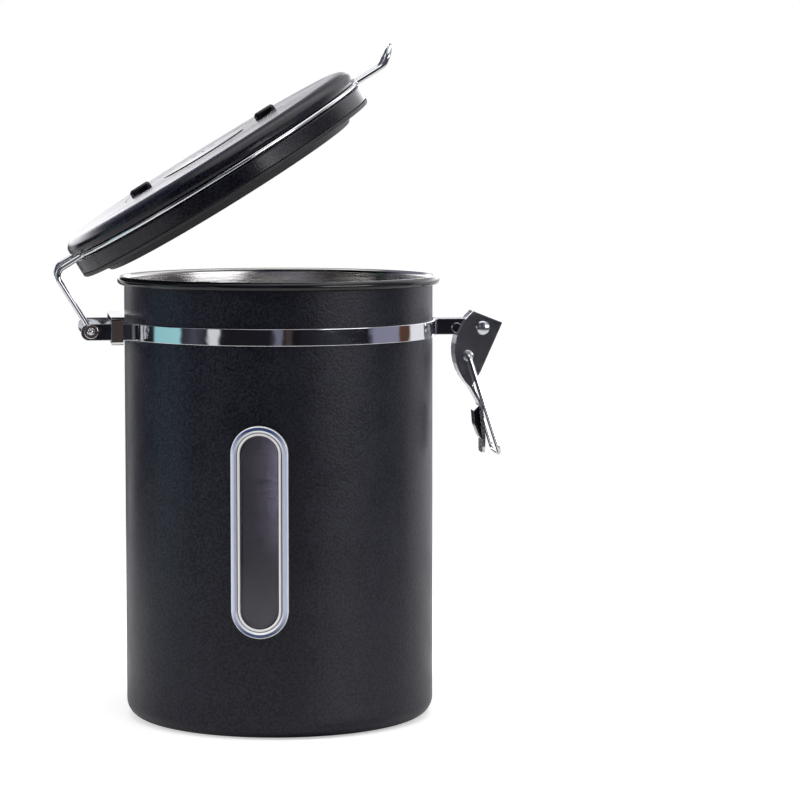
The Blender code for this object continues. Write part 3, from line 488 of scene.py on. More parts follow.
def shellCorners(look):
    radius, wall, corner, bead = (look[key] for key in ("radius", "wall", "corner", "bead"))
    inner = radius - wall
    beadCentre = (inner + bead, look["height"] - bead)
    meeting = math.degrees(math.acos((radius - beadCentre[0]) / bead))
    cornerCentre = (radius - corner, corner)
    top = beadCentre[1] - bead
    rows = [corner + (top - corner) * k / look["rows"] for k in range(1, look["rows"])]
    return [(0, 0), (cornerCentre[0] / 2, 0), *arcPoints(*cornerCentre, corner, -90, 0, 14),
            *[(radius, z) for z in rows], *arcPoints(*beadCentre, bead, -meeting, 180, 30),
            *[(inner, z) for z in reversed(rows)], *arcPoints(*cornerCentre, corner - wall, 0, -90, 14),
            (cornerCentre[0] / 2, wall), (0, wall)]


def shellZone(middle):
    # 0 is the black coat, 1 the glossy rim and 2 the bare steel inside. The divide is halfway through the
    # sheet of the base.
    sizes = [shellLook[key] * mm for key in ("radius", "height", "wall", "corner", "bead")]
    radius, height, wall, corner, bead = sizes
    reach = middle - Vector((radius - wall + bead, height - bead))
    if reach.length < bead + 0.1 * mm:
        return 2 if math.degrees(math.atan2(reach.y, reach.x)) > shellLook["steelFrom"] else 1
    divide = wall / 2
    if middle.x > radius - corner:
        divide = corner - math.sqrt(max((corner - wall / 2) ** 2 - (middle.x - radius + corner) ** 2, 0))
    return 0 if middle.x > radius - wall / 2 or middle.y < min(corner, divide) else 2


def windowRows(inset):
    look = windowLook
    radius = look["width"] / 2 - inset
    straight = (look["length"] - look["width"]) / 2
    quarter = [(k + 0.5) * math.pi / 2 / look["arcSteps"] for k in range(look["arcSteps"])]
    top = [(radius * math.sin(a), straight + radius * math.cos(a)) for a in quarter]
    side = [(radius, straight * (1 - k / 8)) for k in range(17)]
    return top + side + [(across, -up) for across, up in reversed(top)]


def windowSpot(across, up, radius):
    azimuth = math.radians(windowLook["azimuth"]) + across / shellLook["radius"]
    return Vector((radius * math.cos(azimuth), radius * math.sin(azimuth), windowLook["height"] + up)) * mm


def windowRow(across, up):
    columns = windowLook["columns"]
    return [(across * (2 * k / columns - 1), up) for k in range(columns + 1)]


def windowLoop(shape, inset, radius):
    rows = windowRows(inset)
    right = rows[1:-1]
    left = [(-across, up) for across, up in reversed(right)]
    loop = windowRow(*rows[0]) + right + windowRow(*rows[-1])[::-1] + left
    return [shape.verts.new(windowSpot(across, up, radius)) for across, up in loop]


def windowCap(shape, loop, inset, radius):
    sides = windowRows(inset)[1:-1]
    width = windowLook["columns"] + 1
    rows = [loop[:width]]
    for k, (across, up) in enumerate(sides):
        middle = [shape.verts.new(windowSpot(a, u, radius)) for a, u in windowRow(across, up)[1:-1]]
        rows.append([loop[-1 - k]] + middle + [loop[width + k]])
    rows.append(loop[width + len(sides):2 * width + len(sides)][::-1])
    for above, below in zip(rows, rows[1:]):
        for k in range(width - 1):
            shape.faces.new((above[k], above[k + 1], below[k + 1], below[k]))


def windowSolid(name, section, finishes):
    # Sweeps (inset, radius, finish) points round the slot and caps both ends. The step after a point takes
    # the point's finish.
    shape = bmesh.new()
    loops = [windowLoop(shape, *point[:2]) for point in section]
    skinRings(shape, loops, zones=[point[2] for point in section])
    windowCap(shape, loops[0], *section[0][:2])
    windowCap(shape, loops[-1], *section[-1][:2])
    return makePiece(name, shape, finishes)


def windowSection(look):
    # From the back of the clear panel round the plug, the foot, the bead, the groove and the lip to its
    #     # front. Finish 0 is clear, and 1 to 6 are the rim's painted shade, highlights and reflections, in
    #     their order.
    wall = shellLook["radius"]
    back = wall + gap
    edge = back + look["edge"]
    groove = wall + look["grooveRise"]
    pane = wall + look["paneRise"]
    plugEnd = back - look["plugLength"]
    innerWall = look["plugInset"] + look["plugWall"]
    soft = look["soft"]
    bead = arcPoints((look["foot"] + look["bead"]) / 2, edge, (look["foot"] - look["bead"]) / 2, 0, 180, 15,
                     wall + look["raise"] - edge)[1:-1]
    lip = arcPoints((look["lipStart"] + look["lipEnd"]) / 2, groove, (look["lipStart"] - look["lipEnd"]) / 2,
                    0, 180, 6, look["lipRise"] - look["grooveRise"])
    return [(innerWall, pane - look["paneThickness"], 0), (innerWall, plugEnd, 0),
            (look["plugInset"], plugEnd, 0), (look["plugInset"], back, 1), (soft, back, 1),
            (0, back + soft, 1), (0, edge - 3 * soft, 1), (soft / 2, edge - soft, 1), (look["foot"], edge, 2),
            *[(*point, 2) for point in bead[:3]], *[(*point, 3) for point in bead[3:8]],
            *[(*point, 4) for point in bead[8:]], (look["bead"] - 0.02, groove, 5),
            *[(*point, 6) for point in lip[:-1]], (*lip[-1], 5),
            (look["paneInset"] - 0.15, pane + 0.02, 5), (look["paneInset"], pane, 0)]


shell = turnedPiece("shell", shellCorners(shellLook), [blackCoat, glossRim, brushedSteel], shellLook["steps"],
                    zone=shellZone)
slotInset = windowLook["plugInset"] - gap
slotSection = [(slotInset, shellLook["radius"] + windowLook[key], 0) for key in ("cutFrom", "cutTo")]
cutPiece(shell, [windowSolid("slotCutter", slotSection, blackCoat)])
dressed(shell, "canister", "black_coat", "canister_shell")
windowPane = windowSolid("windowPane", windowSection(windowLook), [clearPane, *paintedRimFinishes])
dressed(windowPane, "canister", "clear_plastic", "window_pane")
print("shell and window ready")


# Clamp strap with its ears and lug, the keeper, the eyelets, the lug's rivet and the spacers

strapLook = {"width": 6.4, "thickness": 0.8, "edge": 0.22, "height": 151.5, "bend": 1.6, "end": 2.9,
             "earSpacing": 41.0, "earReach": 77.3, "lugSpacing": 6.4, "lugNose": 82.8, "holeDepth": 3}
hingeLook = {"reach": 73.5, "height": 151.8, "boreRadius": 1.25, "wall": 0.45, "flangeRadius": 2.7,
             "flange": 0.45, "innerEnd": 19.8}
keeperLook = {"reach": 65.8, "width": 4.5, "thickness": 0.7, "headroom": 1.5, "footroom": 0.8, "corner": 0.9,
              "edge": 0.09}
leverLook = {"reach": 79.6, "height": 151.0, "rivetRadius": 1.4, "headRadius": 2.75, "headRise": 1.0,
             "cheekOuter": 5.6}
lugRivetLook = {"reach": 69.6, "radius": 1.2, "head": 2.0, "headThickness": 0.45, "fillet": 0.2}
spacerLook = {"wall": 0.9, "fillet": 0.15}
hingeSpot = Vector((-hingeLook["reach"], 0, hingeLook["height"])) * mm
rivetSpot = Vector((lugRivetLook["reach"], 0, leverLook["height"])) * mm
pivotSpot = Vector((leverLook["reach"], 0, leverLook["height"])) * mm


def strapPath(look, side):
    radius = shellLook["radius"] + gap + look["thickness"] / 2
    ear = look["earSpacing"] / 2
    lug = look["lugSpacing"] / 2
    earAngle = 180 - math.degrees(math.asin(ear / radius))
    lugAngle = math.degrees(math.asin(lug / radius))
    around = arcPoints(0, 0, radius, earAngle, lugAngle, 96)
    around[0] = (*around[0], look["bend"])
    around[-1] = (*around[-1], look["bend"])
    flat = filletPath([(-look["earReach"], ear)] + around + [(look["lugNose"], lug)], closed=False)
    return [Vector((p.x, side * p.y, look["height"] * mm)) for p in flat]


def makeStrap(name, side, node):
    look = strapLook
    piece = sweepStrip(name, strapPath(look, side), (0, 0, 1), look, strapChrome)
    cutters = []
    earHole = hingeLook["boreRadius"] + hingeLook["wall"]
    deep = look["holeDepth"] / 2
    for radius, spacing, middle in ((earHole, look["earSpacing"], hingeSpot),
                                    (lugRivetLook["radius"], look["lugSpacing"], rivetSpot),
                                    (leverLook["rivetRadius"], look["lugSpacing"], pivotSpot)):
        spot = middle + Vector((0, side * spacing / 2, 0)) * mm
        corners = [(0, -deep), (radius + play, -deep), (radius + play, deep), (0, deep)]
        cutters.append(turnedPiece("hole", corners, polishedChrome, 40, alongY(spot)))
    return dressed(cutPiece(piece, cutters), "canister", "chrome", node)


makeStrap("strapFront", -1, "strap_front")
makeStrap("strapRear", 1, "strap_rear")

earOuter = (strapLook["earSpacing"] + strapLook["thickness"]) / 2
halfKeeper = earOuter + gap + keeperLook["thickness"] / 2
beyond = strapLook["width"] / 2 + gap + keeperLook["thickness"] / 2
keeperLow = strapLook["height"] - beyond - keeperLook["footroom"]
keeperHigh = strapLook["height"] + beyond + keeperLook["headroom"]
keeperMiddle = keeperLook["width"] / 2 - keeperLook["reach"]
keeperSpots = [(1, keeperLow), (1, keeperHigh), (-1, keeperHigh), (-1, keeperLow)]
loop = filletPath([(side * halfKeeper, height, keeperLook["corner"]) for side, height in keeperSpots])
keeper = sweepStrip("keeper", [Vector((keeperMiddle * mm, p.x, p.y)) for p in loop], (1, 0, 0), keeperLook,
                    polishedChrome, closed=True)
dressed(keeper, "canister", "chrome", "hinge_keeper")


def eyeletCorners(look):
    bore = look["boreRadius"]
    face = earOuter + play
    return [(bore, look["innerEnd"]), (bore + look["wall"], look["innerEnd"]), (bore + look["wall"], face),
            (look["flangeRadius"], face), (look["flangeRadius"], face + look["flange"], 0.25),
            (bore, face + look["flange"], 0.25)]


for name, side, node in (("eyeletFront", -1, "eyelet_front"), ("eyeletRear", 1, "eyelet_rear")):
    eyelet = turnedPiece(name, eyeletCorners(hingeLook), polishedChrome, 56, alongY(hingeSpot, side))
    dressed(eyelet, "canister", "chrome", node)


def bothWays(upper):
    # A rivet's corners from one end to the other, from those of its upper half.
    return [(p[0], -p[1], *p[2:]) for p in reversed(upper)] + upper


headIn = (strapLook["lugSpacing"] + strapLook["thickness"]) / 2 + play
headOut = headIn + lugRivetLook["headThickness"]
upper = [(lugRivetLook["radius"], headIn), (lugRivetLook["head"], headIn),
         (lugRivetLook["head"], headOut, lugRivetLook["fillet"]), (0, headOut)]
lugRivet = turnedPiece("lugRivet", bothWays(upper), polishedChrome, 48, alongY(rivetSpot))
dressed(lugRivet, "canister", "chrome", "lug_rivet")

halfSpacer = (strapLook["lugSpacing"] - strapLook["thickness"]) / 2 - gap
for name, spot, radius, node in (("lugSpacer", rivetSpot, lugRivetLook["radius"], "lug_spacer"),
                                 ("leverSpacer", pivotSpot, leverLook["rivetRadius"], "lever_spacer")):
    bore = radius + play
    outer = bore + spacerLook["wall"]
    corners = [(bore, -halfSpacer), (outer, -halfSpacer, spacerLook["fillet"]),
               (outer, halfSpacer, spacerLook["fillet"]), (bore, halfSpacer)]
    dressed(turnedPiece(name, corners, turnedSteel, 48, alongY(spot)), "canister", "steel", node)
print("straps and hinge ready")


# Lid: everything here is modelled shut, about the lid's axis at the height of its wire groove. Corners are
# (radius, height, fillet).

lidLook = {"open": 31.7, "grooveHeight": 178.0, "radius": 64.5, "grooveHalf": 1.25, "grooveFloor": 61.7,
           "top": 7.7, "crown": 0.25, "edgeInset": 0.4, "edgeHeight": 1.0, "shoulderHeight": 3.2,
           "shoulderWidth": 7.5, "recess": 1.4, "wall": 1.5, "skirtTop": 3.3, "ring": 35.6, "stem": 9.2}
baseLook = {"corners": [(9.05, -9.6), (51.2, -9.6, 1.2), (55.4, -4.25), (63.85, -4.25), (63.85, -6.7),
                        (64.5, -6.7, 0.22), (64.5, -1.25, 0.4), (61.7, -1.25), (61.7, 3.0), (60.2, 3.0),
                        (60.2, -2.75), (53.9, -2.75), (49.7, -8.1), (9.05, -8.1)]}
sealLook = {"corners": [(52.3, -11.4, 0.5), (54.2, -11.4, 0.5), (58.5, -5.7, 0.4), (63.0, -5.7),
                        (63.0, -8.65, 0.2), (64.5, -8.65, 0.95), (64.5, -7.0, 0.2), (63.55, -7.0),
                        (63.55, -4.4), (55.7, -4.4), (51.5, -9.3)]}
ringLook = {"corners": [(16.2, 6.6), (35.6, 6.6), (35.6, 7.7, 0.25), (18.2, 7.7, 0.15), (18.2, 7.1),
                        (16.2, 7.1)]}
lidPlace = (Matrix.Translation(hingeSpot) @ Matrix.Rotation(-math.radians(lidLook["open"]), 4, "Y")
            @ Matrix.Translation(Vector((0, 0, lidLook["grooveHeight"] * mm)) - hingeSpot))


def coverCorners(look):
    shoulderRadius = look["radius"] - look["shoulderWidth"]
    floor = look["top"] - look["recess"]
    ceiling = floor - look["wall"]
    rim = look["grooveFloor"] + gap
    recess = look["ring"] + gap
    hole = look["stem"] + gap
    return [(rim, look["grooveHalf"]), (look["radius"] - look["edgeInset"], look["grooveHalf"], 0.3),
            (look["radius"], look["grooveHalf"] + look["edgeHeight"], 0.5),
            *arcPoints(shoulderRadius, look["shoulderHeight"], look["shoulderWidth"], 0, 90, 24,
                       look["top"] - look["crown"] - look["shoulderHeight"]),
            (recess, look["top"], 0.3), (recess, floor), (hole, floor), (hole, ceiling),
            (shoulderRadius, ceiling), (rim, look["skirtTop"])]


for name, corners, finish, body, slot, node in (
        ("lidCover", coverCorners(lidLook), blackPlastic, "lid", "black_plastic", "lid_cover"),
        ("lidBase", baseLook["corners"], blackPlastic, "lid", "black_plastic", "lid_base"),
        ("lidSeal", sealLook["corners"], blackSilicone, "lid", "silicone", "seal_gasket"),
        ("dateRing", ringLook["corners"], blackPlastic, "dial", "black_plastic", "date_ring")):
    dressed(turnedPiece(name, corners, finish, 200, lidPlace), body, slot, node)

capLook = {"corners": [(0, 7.4), (7.7, 7.4), (7.7, 3.6), (9.2, 3.6), (9.2, 7.4), (14.3, 7.4), (14.3, 6.6),
                       (15.9, 6.6), (15.9, 7.4), (17.9, 7.4), (17.9, 8.1, 0.25), (9.2, 8.5, 6), (0, 8.5)],
           "slots": 6, "reach": 4.6, "length": 3.4, "width": 0.9, "cutFrom": 3, "cutTo": 10}
valveCap = turnedPiece("valveCap", capLook["corners"], glossPlastic, 120)
slotCutters = []
for k in range(capLook["slots"]):
    turn = Matrix.Rotation(math.tau * (k + 0.5) / capLook["slots"], 4, "Z")
    layers = [(0, capLook["cutFrom"]), (0, capLook["cutTo"])]
    slotCutters.append(roundBar(f"capSlot{k}", capLook, 1, layers, 8, turn))
cutPiece(valveCap, slotCutters)
valveCap.data.transform(lidPlace)
dressed(valveCap, "lid", "gloss_black", "valve_cap")

filterLook = {"corners": [(0, -10.7), (11.0, -10.7, 0.3), (11.0, -9.9, 0.2), (0, -9.9)]}
filterDisc = turnedPiece("filterDisc", filterLook["corners"], filterFelt, 96, lidPlace)
dressed(filterDisc, "lid", "filter_paper", "valve_filter")

tabLook = {"reach": 28.3, "length": 8.9, "width": 3.4, "height": 2.6, "edge": 1.4, "sink": 0.5}
tabEdge = tabLook["edge"]
tabLayers = [(0, lidLook["top"] - tabLook["sink"]),
             *arcPoints(tabEdge, lidLook["top"] + tabLook["height"] - tabEdge, -tabEdge, 0, 90, 7, tabEdge)]
for name, side in (("tabLeft", -1), ("tabRight", 1)):
    dressed(roundBar(name, tabLook, side, tabLayers, 12, lidPlace), "dial", "gloss_black")

numberLook = {"count": 31, "reach": 31.4, "size": 2.5, "thickness": 0.03, "lift": 0.005}


def makeNumbers(look):
    # The days of a month printed round the ring, read from outside it. Two lie partly under the tabs.
    parts = bmesh.new()
    for day in range(1, look["count"] + 1):
        text = bpy.data.curves.new("day", "FONT")
        text.body = str(day)
        text.size = look["size"] * mm
        text.extrude = look["thickness"] * mm / 2
        text.align_x = "CENTER"
        text.align_y = "CENTER"
        text.resolution_u = 3
        holder = placed("day", text)
        flat = finishedMesh(holder)
        turn = -math.tau * (day - 0.5) / look["count"] - math.pi / 2
        height = lidLook["top"] + look["thickness"] / 2 + look["lift"]
        spot = Matrix.Translation(Vector((look["reach"], 0, height)) * mm)
        flat.transform(Matrix.Rotation(turn, 4, "Z") @ spot @ Matrix.Rotation(math.pi / 2, 4, "Z"))
        parts.from_mesh(flat)
        bpy.data.objects.remove(holder)
        bpy.data.meshes.remove(flat)
    bmesh.ops.remove_doubles(parts, verts=parts.verts[:], dist=0.0001 * mm)
    return makePiece("dayNumbers", parts, whitePrint, lidPlace)


dressed(makeNumbers(numberLook), "dial", "black_plastic")
print("lid ready")


# Wires

def wireTree():
    # Rounds the corners of a path and sweeps a round section along it. Returns the tree and its inputs.
    tree = bpy.data.node_groups.new("bentWire", "GeometryNodeTree")
    inputs = {}
    for label, kind in (("Geometry", "Geometry"), ("Wire radius", "Float"), ("Sides", "Int"),
                        ("Steps in a bend", "Int"), ("Finish", "Material")):
        made = tree.interface.new_socket(label, in_out="INPUT", socket_type=f"NodeSocket{kind}")
        inputs[label] = made.identifier
    tree.interface.new_socket("Geometry", in_out="OUTPUT", socket_type="NodeSocketGeometry")
    entry = addNode(tree, "NodeGroupInput")
    path = addNode(tree, "GeometryNodeMeshToCurve", entry.outputs["Geometry"])
    bendRadius = addNode(tree, "GeometryNodeInputNamedAttribute", data_type="FLOAT", Name="bendRadius")
    fillet = addNode(tree, "GeometryNodeFilletCurve", mode="POLY", Curve=path.outputs[0],
                     Radius=bendRadius.outputs["Attribute"], Count=entry.outputs["Steps in a bend"])
    section = addNode(tree, "GeometryNodeCurvePrimitiveCircle", Resolution=entry.outputs["Sides"],
                      Radius=entry.outputs["Wire radius"])
    sweep = addNode(tree, "GeometryNodeCurveToMesh", Curve=fillet.outputs[0])
    feed(tree, sweep.inputs["Profile Curve"], section.outputs[0])
    feed(tree, sweep.inputs["Fill Caps"], True)
    smooth = addNode(tree, "GeometryNodeSetShadeSmooth", sweep.outputs[0])
    real = addNode(tree, "GeometryNodeRealizeInstances", smooth.outputs[0])
    coat = addNode(tree, "GeometryNodeSetMaterial", real.outputs[0], Material=entry.outputs["Finish"])
    addNode(tree, "NodeGroupOutput", coat.outputs[0])
    return tree, inputs


bentWire, wireInputs = wireTree()


def makeWire(name, half, wireRadius, place):
    # Corners of the rear half of a wire are (x, y, z, bend). The tree turns both halves into one bent wire.
    corners = [(x, -y, z, bend) for x, y, z, bend in half] + half[::-1]
    line = bpy.data.meshes.new(name)
    line.from_pydata([Vector(c[:3]) * mm for c in corners], [(k, k + 1) for k in range(len(corners) - 1)], [])
    bends = line.attributes.new("bendRadius", "FLOAT", "POINT")
    bends.data.foreach_set("value", [c[3] * mm for c in corners])
    holder = placed(name, line)
    change = holder.modifiers.new("wire", "NODES")
    change.node_group = bentWire
    for label, value in (("Wire radius", wireRadius * mm), ("Sides", 20), ("Steps in a bend", 10),
                         ("Finish", polishedChrome)):
        change[wireInputs[label]] = value
    mesh = finishedMesh(holder)
    bpy.data.objects.remove(holder)
    shape = bmesh.new()
    shape.from_mesh(mesh)
    bmesh.ops.remove_doubles(shape, verts=shape.verts[:], dist=0.0001 * mm)
    return makePiece(name, shape, polishedChrome, place, math.radians(50))


wireLook = {"radius": 1.0, "centre": 63.0, "legs": 37.0, "pinEnd": 21.6, "legBend": 4.0, "pinBend": 1.5,
            "exitBend": 2.4, "hook": 12.4, "hookReach": 77.0, "tipReach": 83.6, "tipRise": 4.91,
            "hookBend": 5.0}


def lidWireCorners(look):
    leg = look["legs"] / 2
    hook = look["hook"] / 2
    reach = -hingeLook["reach"]
    drop = hingeLook["height"] - lidLook["grooveHeight"]
    legAngle = 180 - math.degrees(math.asin(leg / look["centre"]))
    hookAngle = math.degrees(math.asin(hook / look["centre"]))
    groove = [(x, y, 0, 0) for x, y in arcPoints(0, 0, look["centre"], legAngle, hookAngle, 90)]
    groove[0] = (*groove[0][:3], look["exitBend"])
    groove[-1] = (*groove[-1][:3], look["exitBend"])
    return [(reach, look["pinEnd"], drop, 0), (reach, leg, drop, look["pinBend"]),
            (reach, leg, 0, look["legBend"]), *groove, (look["hookReach"], hook, 0, look["hookBend"]),
            (look["tipReach"], hook, look["tipRise"], hook - look["radius"] / 2)]


lidWire = makeWire("lidWire", lidWireCorners(wireLook), wireLook["radius"], lidPlace)
dressed(lidWire, "lid", "chrome", "lid_wire")
pinHeadLook = {"reach": 21.5, "rise": 0.7, "sink": 1.0}
for name, side in (("pinHeadFront", -1), ("pinHeadRear", 1)):
    dome = arcPoints(0, 0, wireLook["radius"], 0, 90, 12, pinHeadLook["rise"])[:-1]
    corners = [(0, -pinHeadLook["sink"]), (wireLook["radius"], -pinHeadLook["sink"]), *dome,
               (0, pinHeadLook["rise"])]
    spot = hingeSpot + Vector((0, side * pinHeadLook["reach"] * mm, 0))
    dressed(turnedPiece(name, corners, satinSteel, 32, alongY(spot, side)), "lid", "chrome")

bailLook = {"radius": 0.9, "pivotX": -5.75, "pivotZ": -10.8, "tilt": 17.5, "length": 40.07, "spacing": 18.4,
            "corner": 3.0, "pinBend": 1.4, "near": 7.5, "pinStart": 4.2}


def bailCorners(look):
    tilt = math.radians(look["tilt"])
    return [(0, look["pinStart"], 0, 0), (0, look["near"], 0, look["pinBend"]),
            (look["length"] * math.sin(tilt), look["spacing"] / 2, -look["length"] * math.cos(tilt),
             look["corner"])]


bailSpot = pivotSpot + Vector((bailLook["pivotX"], 0, bailLook["pivotZ"])) * mm
bail = makeWire("bail", bailCorners(bailLook), bailLook["radius"], Matrix.Translation(bailSpot))
dressed(bail, "bail", "chrome", "latch_bail")
print("wires ready")


# Lever, its rivet, the raised lip round each of the bail's holes, and the thumb pad

holeLipLook = {"inner": 1.22, "middle": 1.7, "rise": 0.42, "sink": 0.15}


def softenedCopy(name, node, width, finish):
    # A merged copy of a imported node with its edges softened.
    shape = bmesh.new()
    shape.from_mesh(nodes[node].data)
    bmesh.ops.remove_doubles(shape, verts=shape.verts[:], dist=0.001 * mm)
    bmesh.ops.dissolve_limit(shape, angle_limit=math.radians(1.0), verts=shape.verts[:], edges=shape.edges[:])
    sharp = [e for e in shape.edges if e.is_manifold and e.calc_face_angle() > crease]
    bmesh.ops.bevel(shape, geom=sharp, offset=width, segments=3, profile=0.5, affect="EDGES",
                    clamp_overlap=True)
    piece = makePiece(name, shape, finish, None, math.radians(40))
    even = piece.modifiers.new("evenShading", "WEIGHTED_NORMAL")
    even.keep_sharp = True
    applyChanges(piece)
    return piece


lever = softenedCopy("lever", "latch_lever", 0.28 * mm, satinSteel)
dressed(lever, "lever", "chrome", "latch_lever")
headIn = leverLook["cheekOuter"] + play
upper = [(leverLook["rivetRadius"], headIn),
         *arcPoints(0, headIn, leverLook["headRadius"], 0, 90, 14, leverLook["headRise"])[:-1],
         (0, headIn + leverLook["headRise"])]
leverRivet = turnedPiece("leverRivet", bothWays(upper), satinSteel, 64, alongY(pivotSpot))
dressed(leverRivet, "lever", "chrome", "lever_rivet")

for name, side in (("holeLipFront", -1), ("holeLipRear", 1)):
    middle = holeLipLook["middle"]
    half = middle - holeLipLook["inner"]
    corners = [(holeLipLook["inner"], -holeLipLook["sink"]), (middle + half, -holeLipLook["sink"]),
               *arcPoints(middle, 0, half, 0, 180, 12, holeLipLook["rise"])]
    spot = bailSpot + Vector((0, side * leverLook["cheekOuter"], 0)) * mm
    dressed(turnedPiece(name, corners, polishedChrome, 48, alongY(spot, side)), "lever", "chrome")

thumbPad = softenedCopy("thumbPad", "thumb_pad", 0.25 * mm, glossPlastic)
dressed(thumbPad, "lever", "gloss_black", "thumb_pad")
print("latch ready")


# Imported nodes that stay: the window's inner pieces and the valve's inner pieces

for node, finish in (("window_gasket", milkySilicone), ("window_frame", clearPane),
                     ("valve_body", blackPlastic), ("valve_disc", blackSilicone),
                     ("valve_retainer", turnedSteel)):
    nodes[node].data.materials.clear()
    nodes[node].data.materials.append(finish)


# Camera, floor and soft studio light

cameraLook = {"spot": (-110.36, -1202.32, 229.5), "yaw": 7.4897, "pitch": 5.042, "lens": 139.416,
              "sensor": 36, "farthest": 20}
# The floor's drop keeps it clear of the shell's flat base. It fades out between its last two distances.
floorLook = {"reach": 620, "sides": 96, "drop": 0.03, "colour": (0.82, 0.82, 0.82), "roughness": 0.6,
             "specular": 0.2, "glow": 0.48, "fadeFrom": 0.36, "fadeTo": 0.61}

# What polished metal sees, by bearing from the camera in degrees, growing towards the latch. The level
# band lies within a few degrees of the horizon, the high band above it and the upper band above that. Each
# band's heights in roomLook are where it fades in over the one below.
levelBand = [(-171, 0.9), (-169, 0.03), (-158, 0.03), (-155, 0.9), (-144, 0.9), (-140, 0.01),
             (-124, 0.01), (-119, 0.05), (-113, 0.01), (-104, 0.02), (-101, (0.32, 0.62, 0.66)),
             (-77, (0.36, 0.66, 0.70)), (-74, 0.03), (-63, 0.07), (-53, 0.02), (-51, 0.75), (-45, 0.75),
             (-43, 0.012), (-6, 0.012), (-3, 0.16), (2, 0.16), (4, 0.012), (6, (0.06, 0.046, 0.044)),
             (9, (0.06, 0.046, 0.044)), (11, 0.008), (40, 0.03), (68, 0.012), (72, 0.24), (97, 0.26),
             (100, (0.10, 0.05, 0.035)), (110, (0.10, 0.05, 0.035)), (113, 0.9)]
highBand = [(-180, 1.0), (-174, 1.0), (-171, 2.8), (-158, 2.3), (-142, 2.4), (-128, 1.5), (-112, 0.3),
            (-95, 0.16), (-91, 0.02), (-83, 0.02), (-79, 0.3), (-57, 0.3), (-53, 0.008), (-30, 0.008),
            (-27, 0.14), (-19, 0.14), (-16, 0.22), (-2, 0.22), (2, 0.02), (12, 0.02), (16, 0.1), (28, 0.15),
            (33, 5.4), (67, 5.4), (71, 0.3), (100, 0.3), (110, 0.6), (124, 1.5), (142, 2.2), (177, 2.8),
            (180, 1.0)]
upperBand = [(-180, 0.3), (-160, 0.25), (-140, 0.25), (-104, 0.03), (-83, 0.03), (-79, 0.2), (-57, 0.2),
             (-53, 0.008), (-30, 0.008), (-26, 0.1), (-2, 0.12), (2, 0.02), (12, 0.02), (16, 0.1), (27, 0.15),
             (34, 0.6), (66, 0.6), (72, 0.3), (100, 0.3), (110, 0.7), (124, 1.3), (142, 1.2), (180, 0.35)]
roomLook = {"floorStrength": 0.16, "levelFrom": (-0.5, -0.17), "highFrom": (0.0, 0.06),
            "upperFrom": (0.2, 0.3), "overheadFrom": (0.7, 0.85), "overhead": 1.5, "fill": 0.36,
            "coolDark": 1.35, "coolPale": 1.04}


def makeCamera(look):
    data = bpy.data.cameras.new("camera")
    data.lens = look["lens"]
    data.sensor_width = look["sensor"]
    data.clip_end = look["farthest"]
    camera = placed("camera", data)
    yaw = math.radians(look["yaw"])
    pitch = math.radians(look["pitch"])
    ahead = Vector((math.sin(yaw) * math.cos(pitch), math.cos(yaw) * math.cos(pitch), -math.sin(pitch)))
    camera.location = Vector(look["spot"]) * mm
    camera.rotation_euler = ahead.to_track_quat("-Z", "Y").to_euler()
    bpy.context.scene.camera = camera


def makeFloor(look):
    # It fades out towards its edge, so that polished metal shows no hard line there.
    shape = bmesh.new()
    rim = arcPoints(0, 0, look["reach"], 0, 360, look["sides"])[:-1]
    shape.faces.new([shape.verts.new(Vector((x, y, -look["drop"])) * mm) for x, y in rim])
    finish, tree, shader = startMaterial("paleFloor", look)
    shader.inputs["Specular IOR Level"].default_value = look["specular"]
    feed(tree, shader.inputs["Emission Color"], (1, 1, 1))
    rays = addNode(tree, "ShaderNodeLightPath")
    feed(tree, shader.inputs["Emission Strength"],
         worked(tree, "MULTIPLY", rays.outputs["Is Camera Ray"], look["glow"]))
    place = addNode(tree, "ShaderNodeTexCoord")
    away = addNode(tree, "ShaderNodeVectorMath", place.outputs["Object"], operation="LENGTH")
    feed(tree, shader.inputs["Alpha"],
         mapped(tree, away.outputs["Value"], look["fadeFrom"], look["fadeTo"], 1.0, 0.0))
    floor = makePiece("floor", shape, finish)
    if floor.data.polygons[0].normal.z < 0:
        floor.data.flip_normals()


def bandColours(tree, share, band):
    ramp = addNode(tree, "ShaderNodeValToRGB", share)
    stops = ramp.color_ramp.elements
    stops.remove(stops[-1])
    for index, (degrees, value) in enumerate(band):
        spot = (degrees + 180) / 360
        stop = stops[0] if index == 0 else stops.new(spot)
        stop.position = spot
        if isinstance(value, tuple):
            stop.color = (*value, 1)
        else:
            cool = roomLook["coolDark"] if value < 0.3 else roomLook["coolPale"]
            stop.color = (value, value, value * cool, 1)
    return ramp.outputs[0]


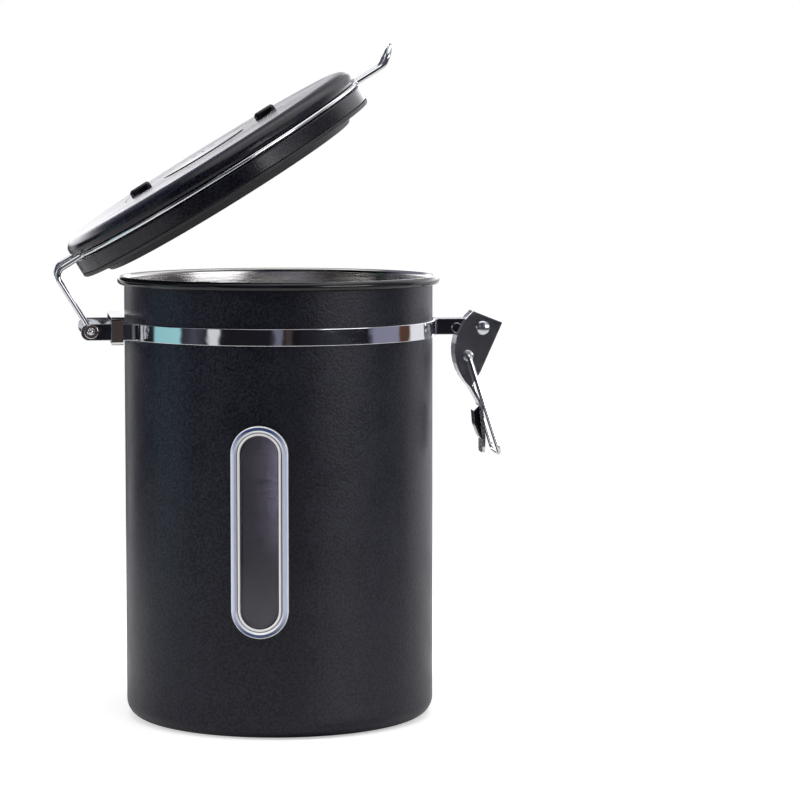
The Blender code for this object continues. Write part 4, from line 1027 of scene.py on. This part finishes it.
def makeWorld(look):
    world = bpy.data.worlds.new("studio")
    bpy.context.scene.world = world
    world.use_nodes = True
    world.cycles.sampling_method = "NONE"  # Its colours depend on the kind of ray.
    tree = world.node_tree
    tree.nodes.clear()
    place = addNode(tree, "ShaderNodeTexCoord")
    x, y = cameraLook["spot"][:2]
    turned = addNode(tree, "ShaderNodeVectorRotate", place.outputs["Generated"], rotation_type="Z_AXIS",
                     Angle=math.atan2(-x, -y))
    split = addNode(tree, "ShaderNodeSeparateXYZ", turned.outputs[0])
    back = worked(tree, "MULTIPLY", split.outputs["Y"], -1)
    share = mapped(tree, worked(tree, "ARCTAN2", split.outputs["X"], back), -math.pi, math.pi)
    height = split.outputs["Z"]
    room = (look["floorStrength"],) * 3
    for key, band in (("levelFrom", levelBand), ("highFrom", highBand), ("upperFrom", upperBand)):
        room = blended(tree, mapped(tree, height, *look[key]), room, bandColours(tree, share, band))
    room = blended(tree, mapped(tree, height, *look["overheadFrom"]), room, (look["overhead"],) * 3)
    rays = addNode(tree, "ShaderNodeLightPath")
    # Soft light on matt surfaces, the room for polished ones, and plain white for the camera.
    lit = blended(tree, rays.outputs["Is Glossy Ray"], (look["fill"],) * 3, room)
    clear = worked(tree, "MAXIMUM", rays.outputs["Is Camera Ray"], rays.outputs["Is Transmission Ray"])
    light = addNode(tree, "ShaderNodeBackground", blended(tree, clear, lit, (1.0, 1.0, 1.0)), Strength=1.0)
    addNode(tree, "ShaderNodeOutputWorld", light.outputs[0])


softboxLooks = {"topSoftbox": {"spot": (0.05, -0.25, 1.3), "size": (1.1, 0.9), "power": 9.0},
                "leftSoftbox": {"spot": (-1.25, -0.12, 0.45), "size": (0.25, 0.9), "power": 9.0},
                "rightSoftbox": {"spot": (1.15, 0.06, 0.5), "size": (0.3, 0.9), "power": 6.0}}


def makeSoftbox(name, look):
    data = bpy.data.lights.new(name, "AREA")
    data.shape = "RECTANGLE"
    data.size, data.size_y = look["size"]
    data.energy = look["power"]
    lamp = placed(name, data)
    lamp.visible_glossy = False  # Polished pieces see the room's own softboxes instead.
    lamp.location = look["spot"]
    lamp.rotation_euler = (Vector((0, 0, 0.1)) - Vector(look["spot"])).to_track_quat("-Z", "Y").to_euler()


makeCamera(cameraLook)
makeFloor(floorLook)
makeWorld(roomLook)
for name, look in softboxLooks.items():
    makeSoftbox(name, look)
bpy.context.scene.view_settings.view_transform = "Standard"
print("camera, floor and light ready")
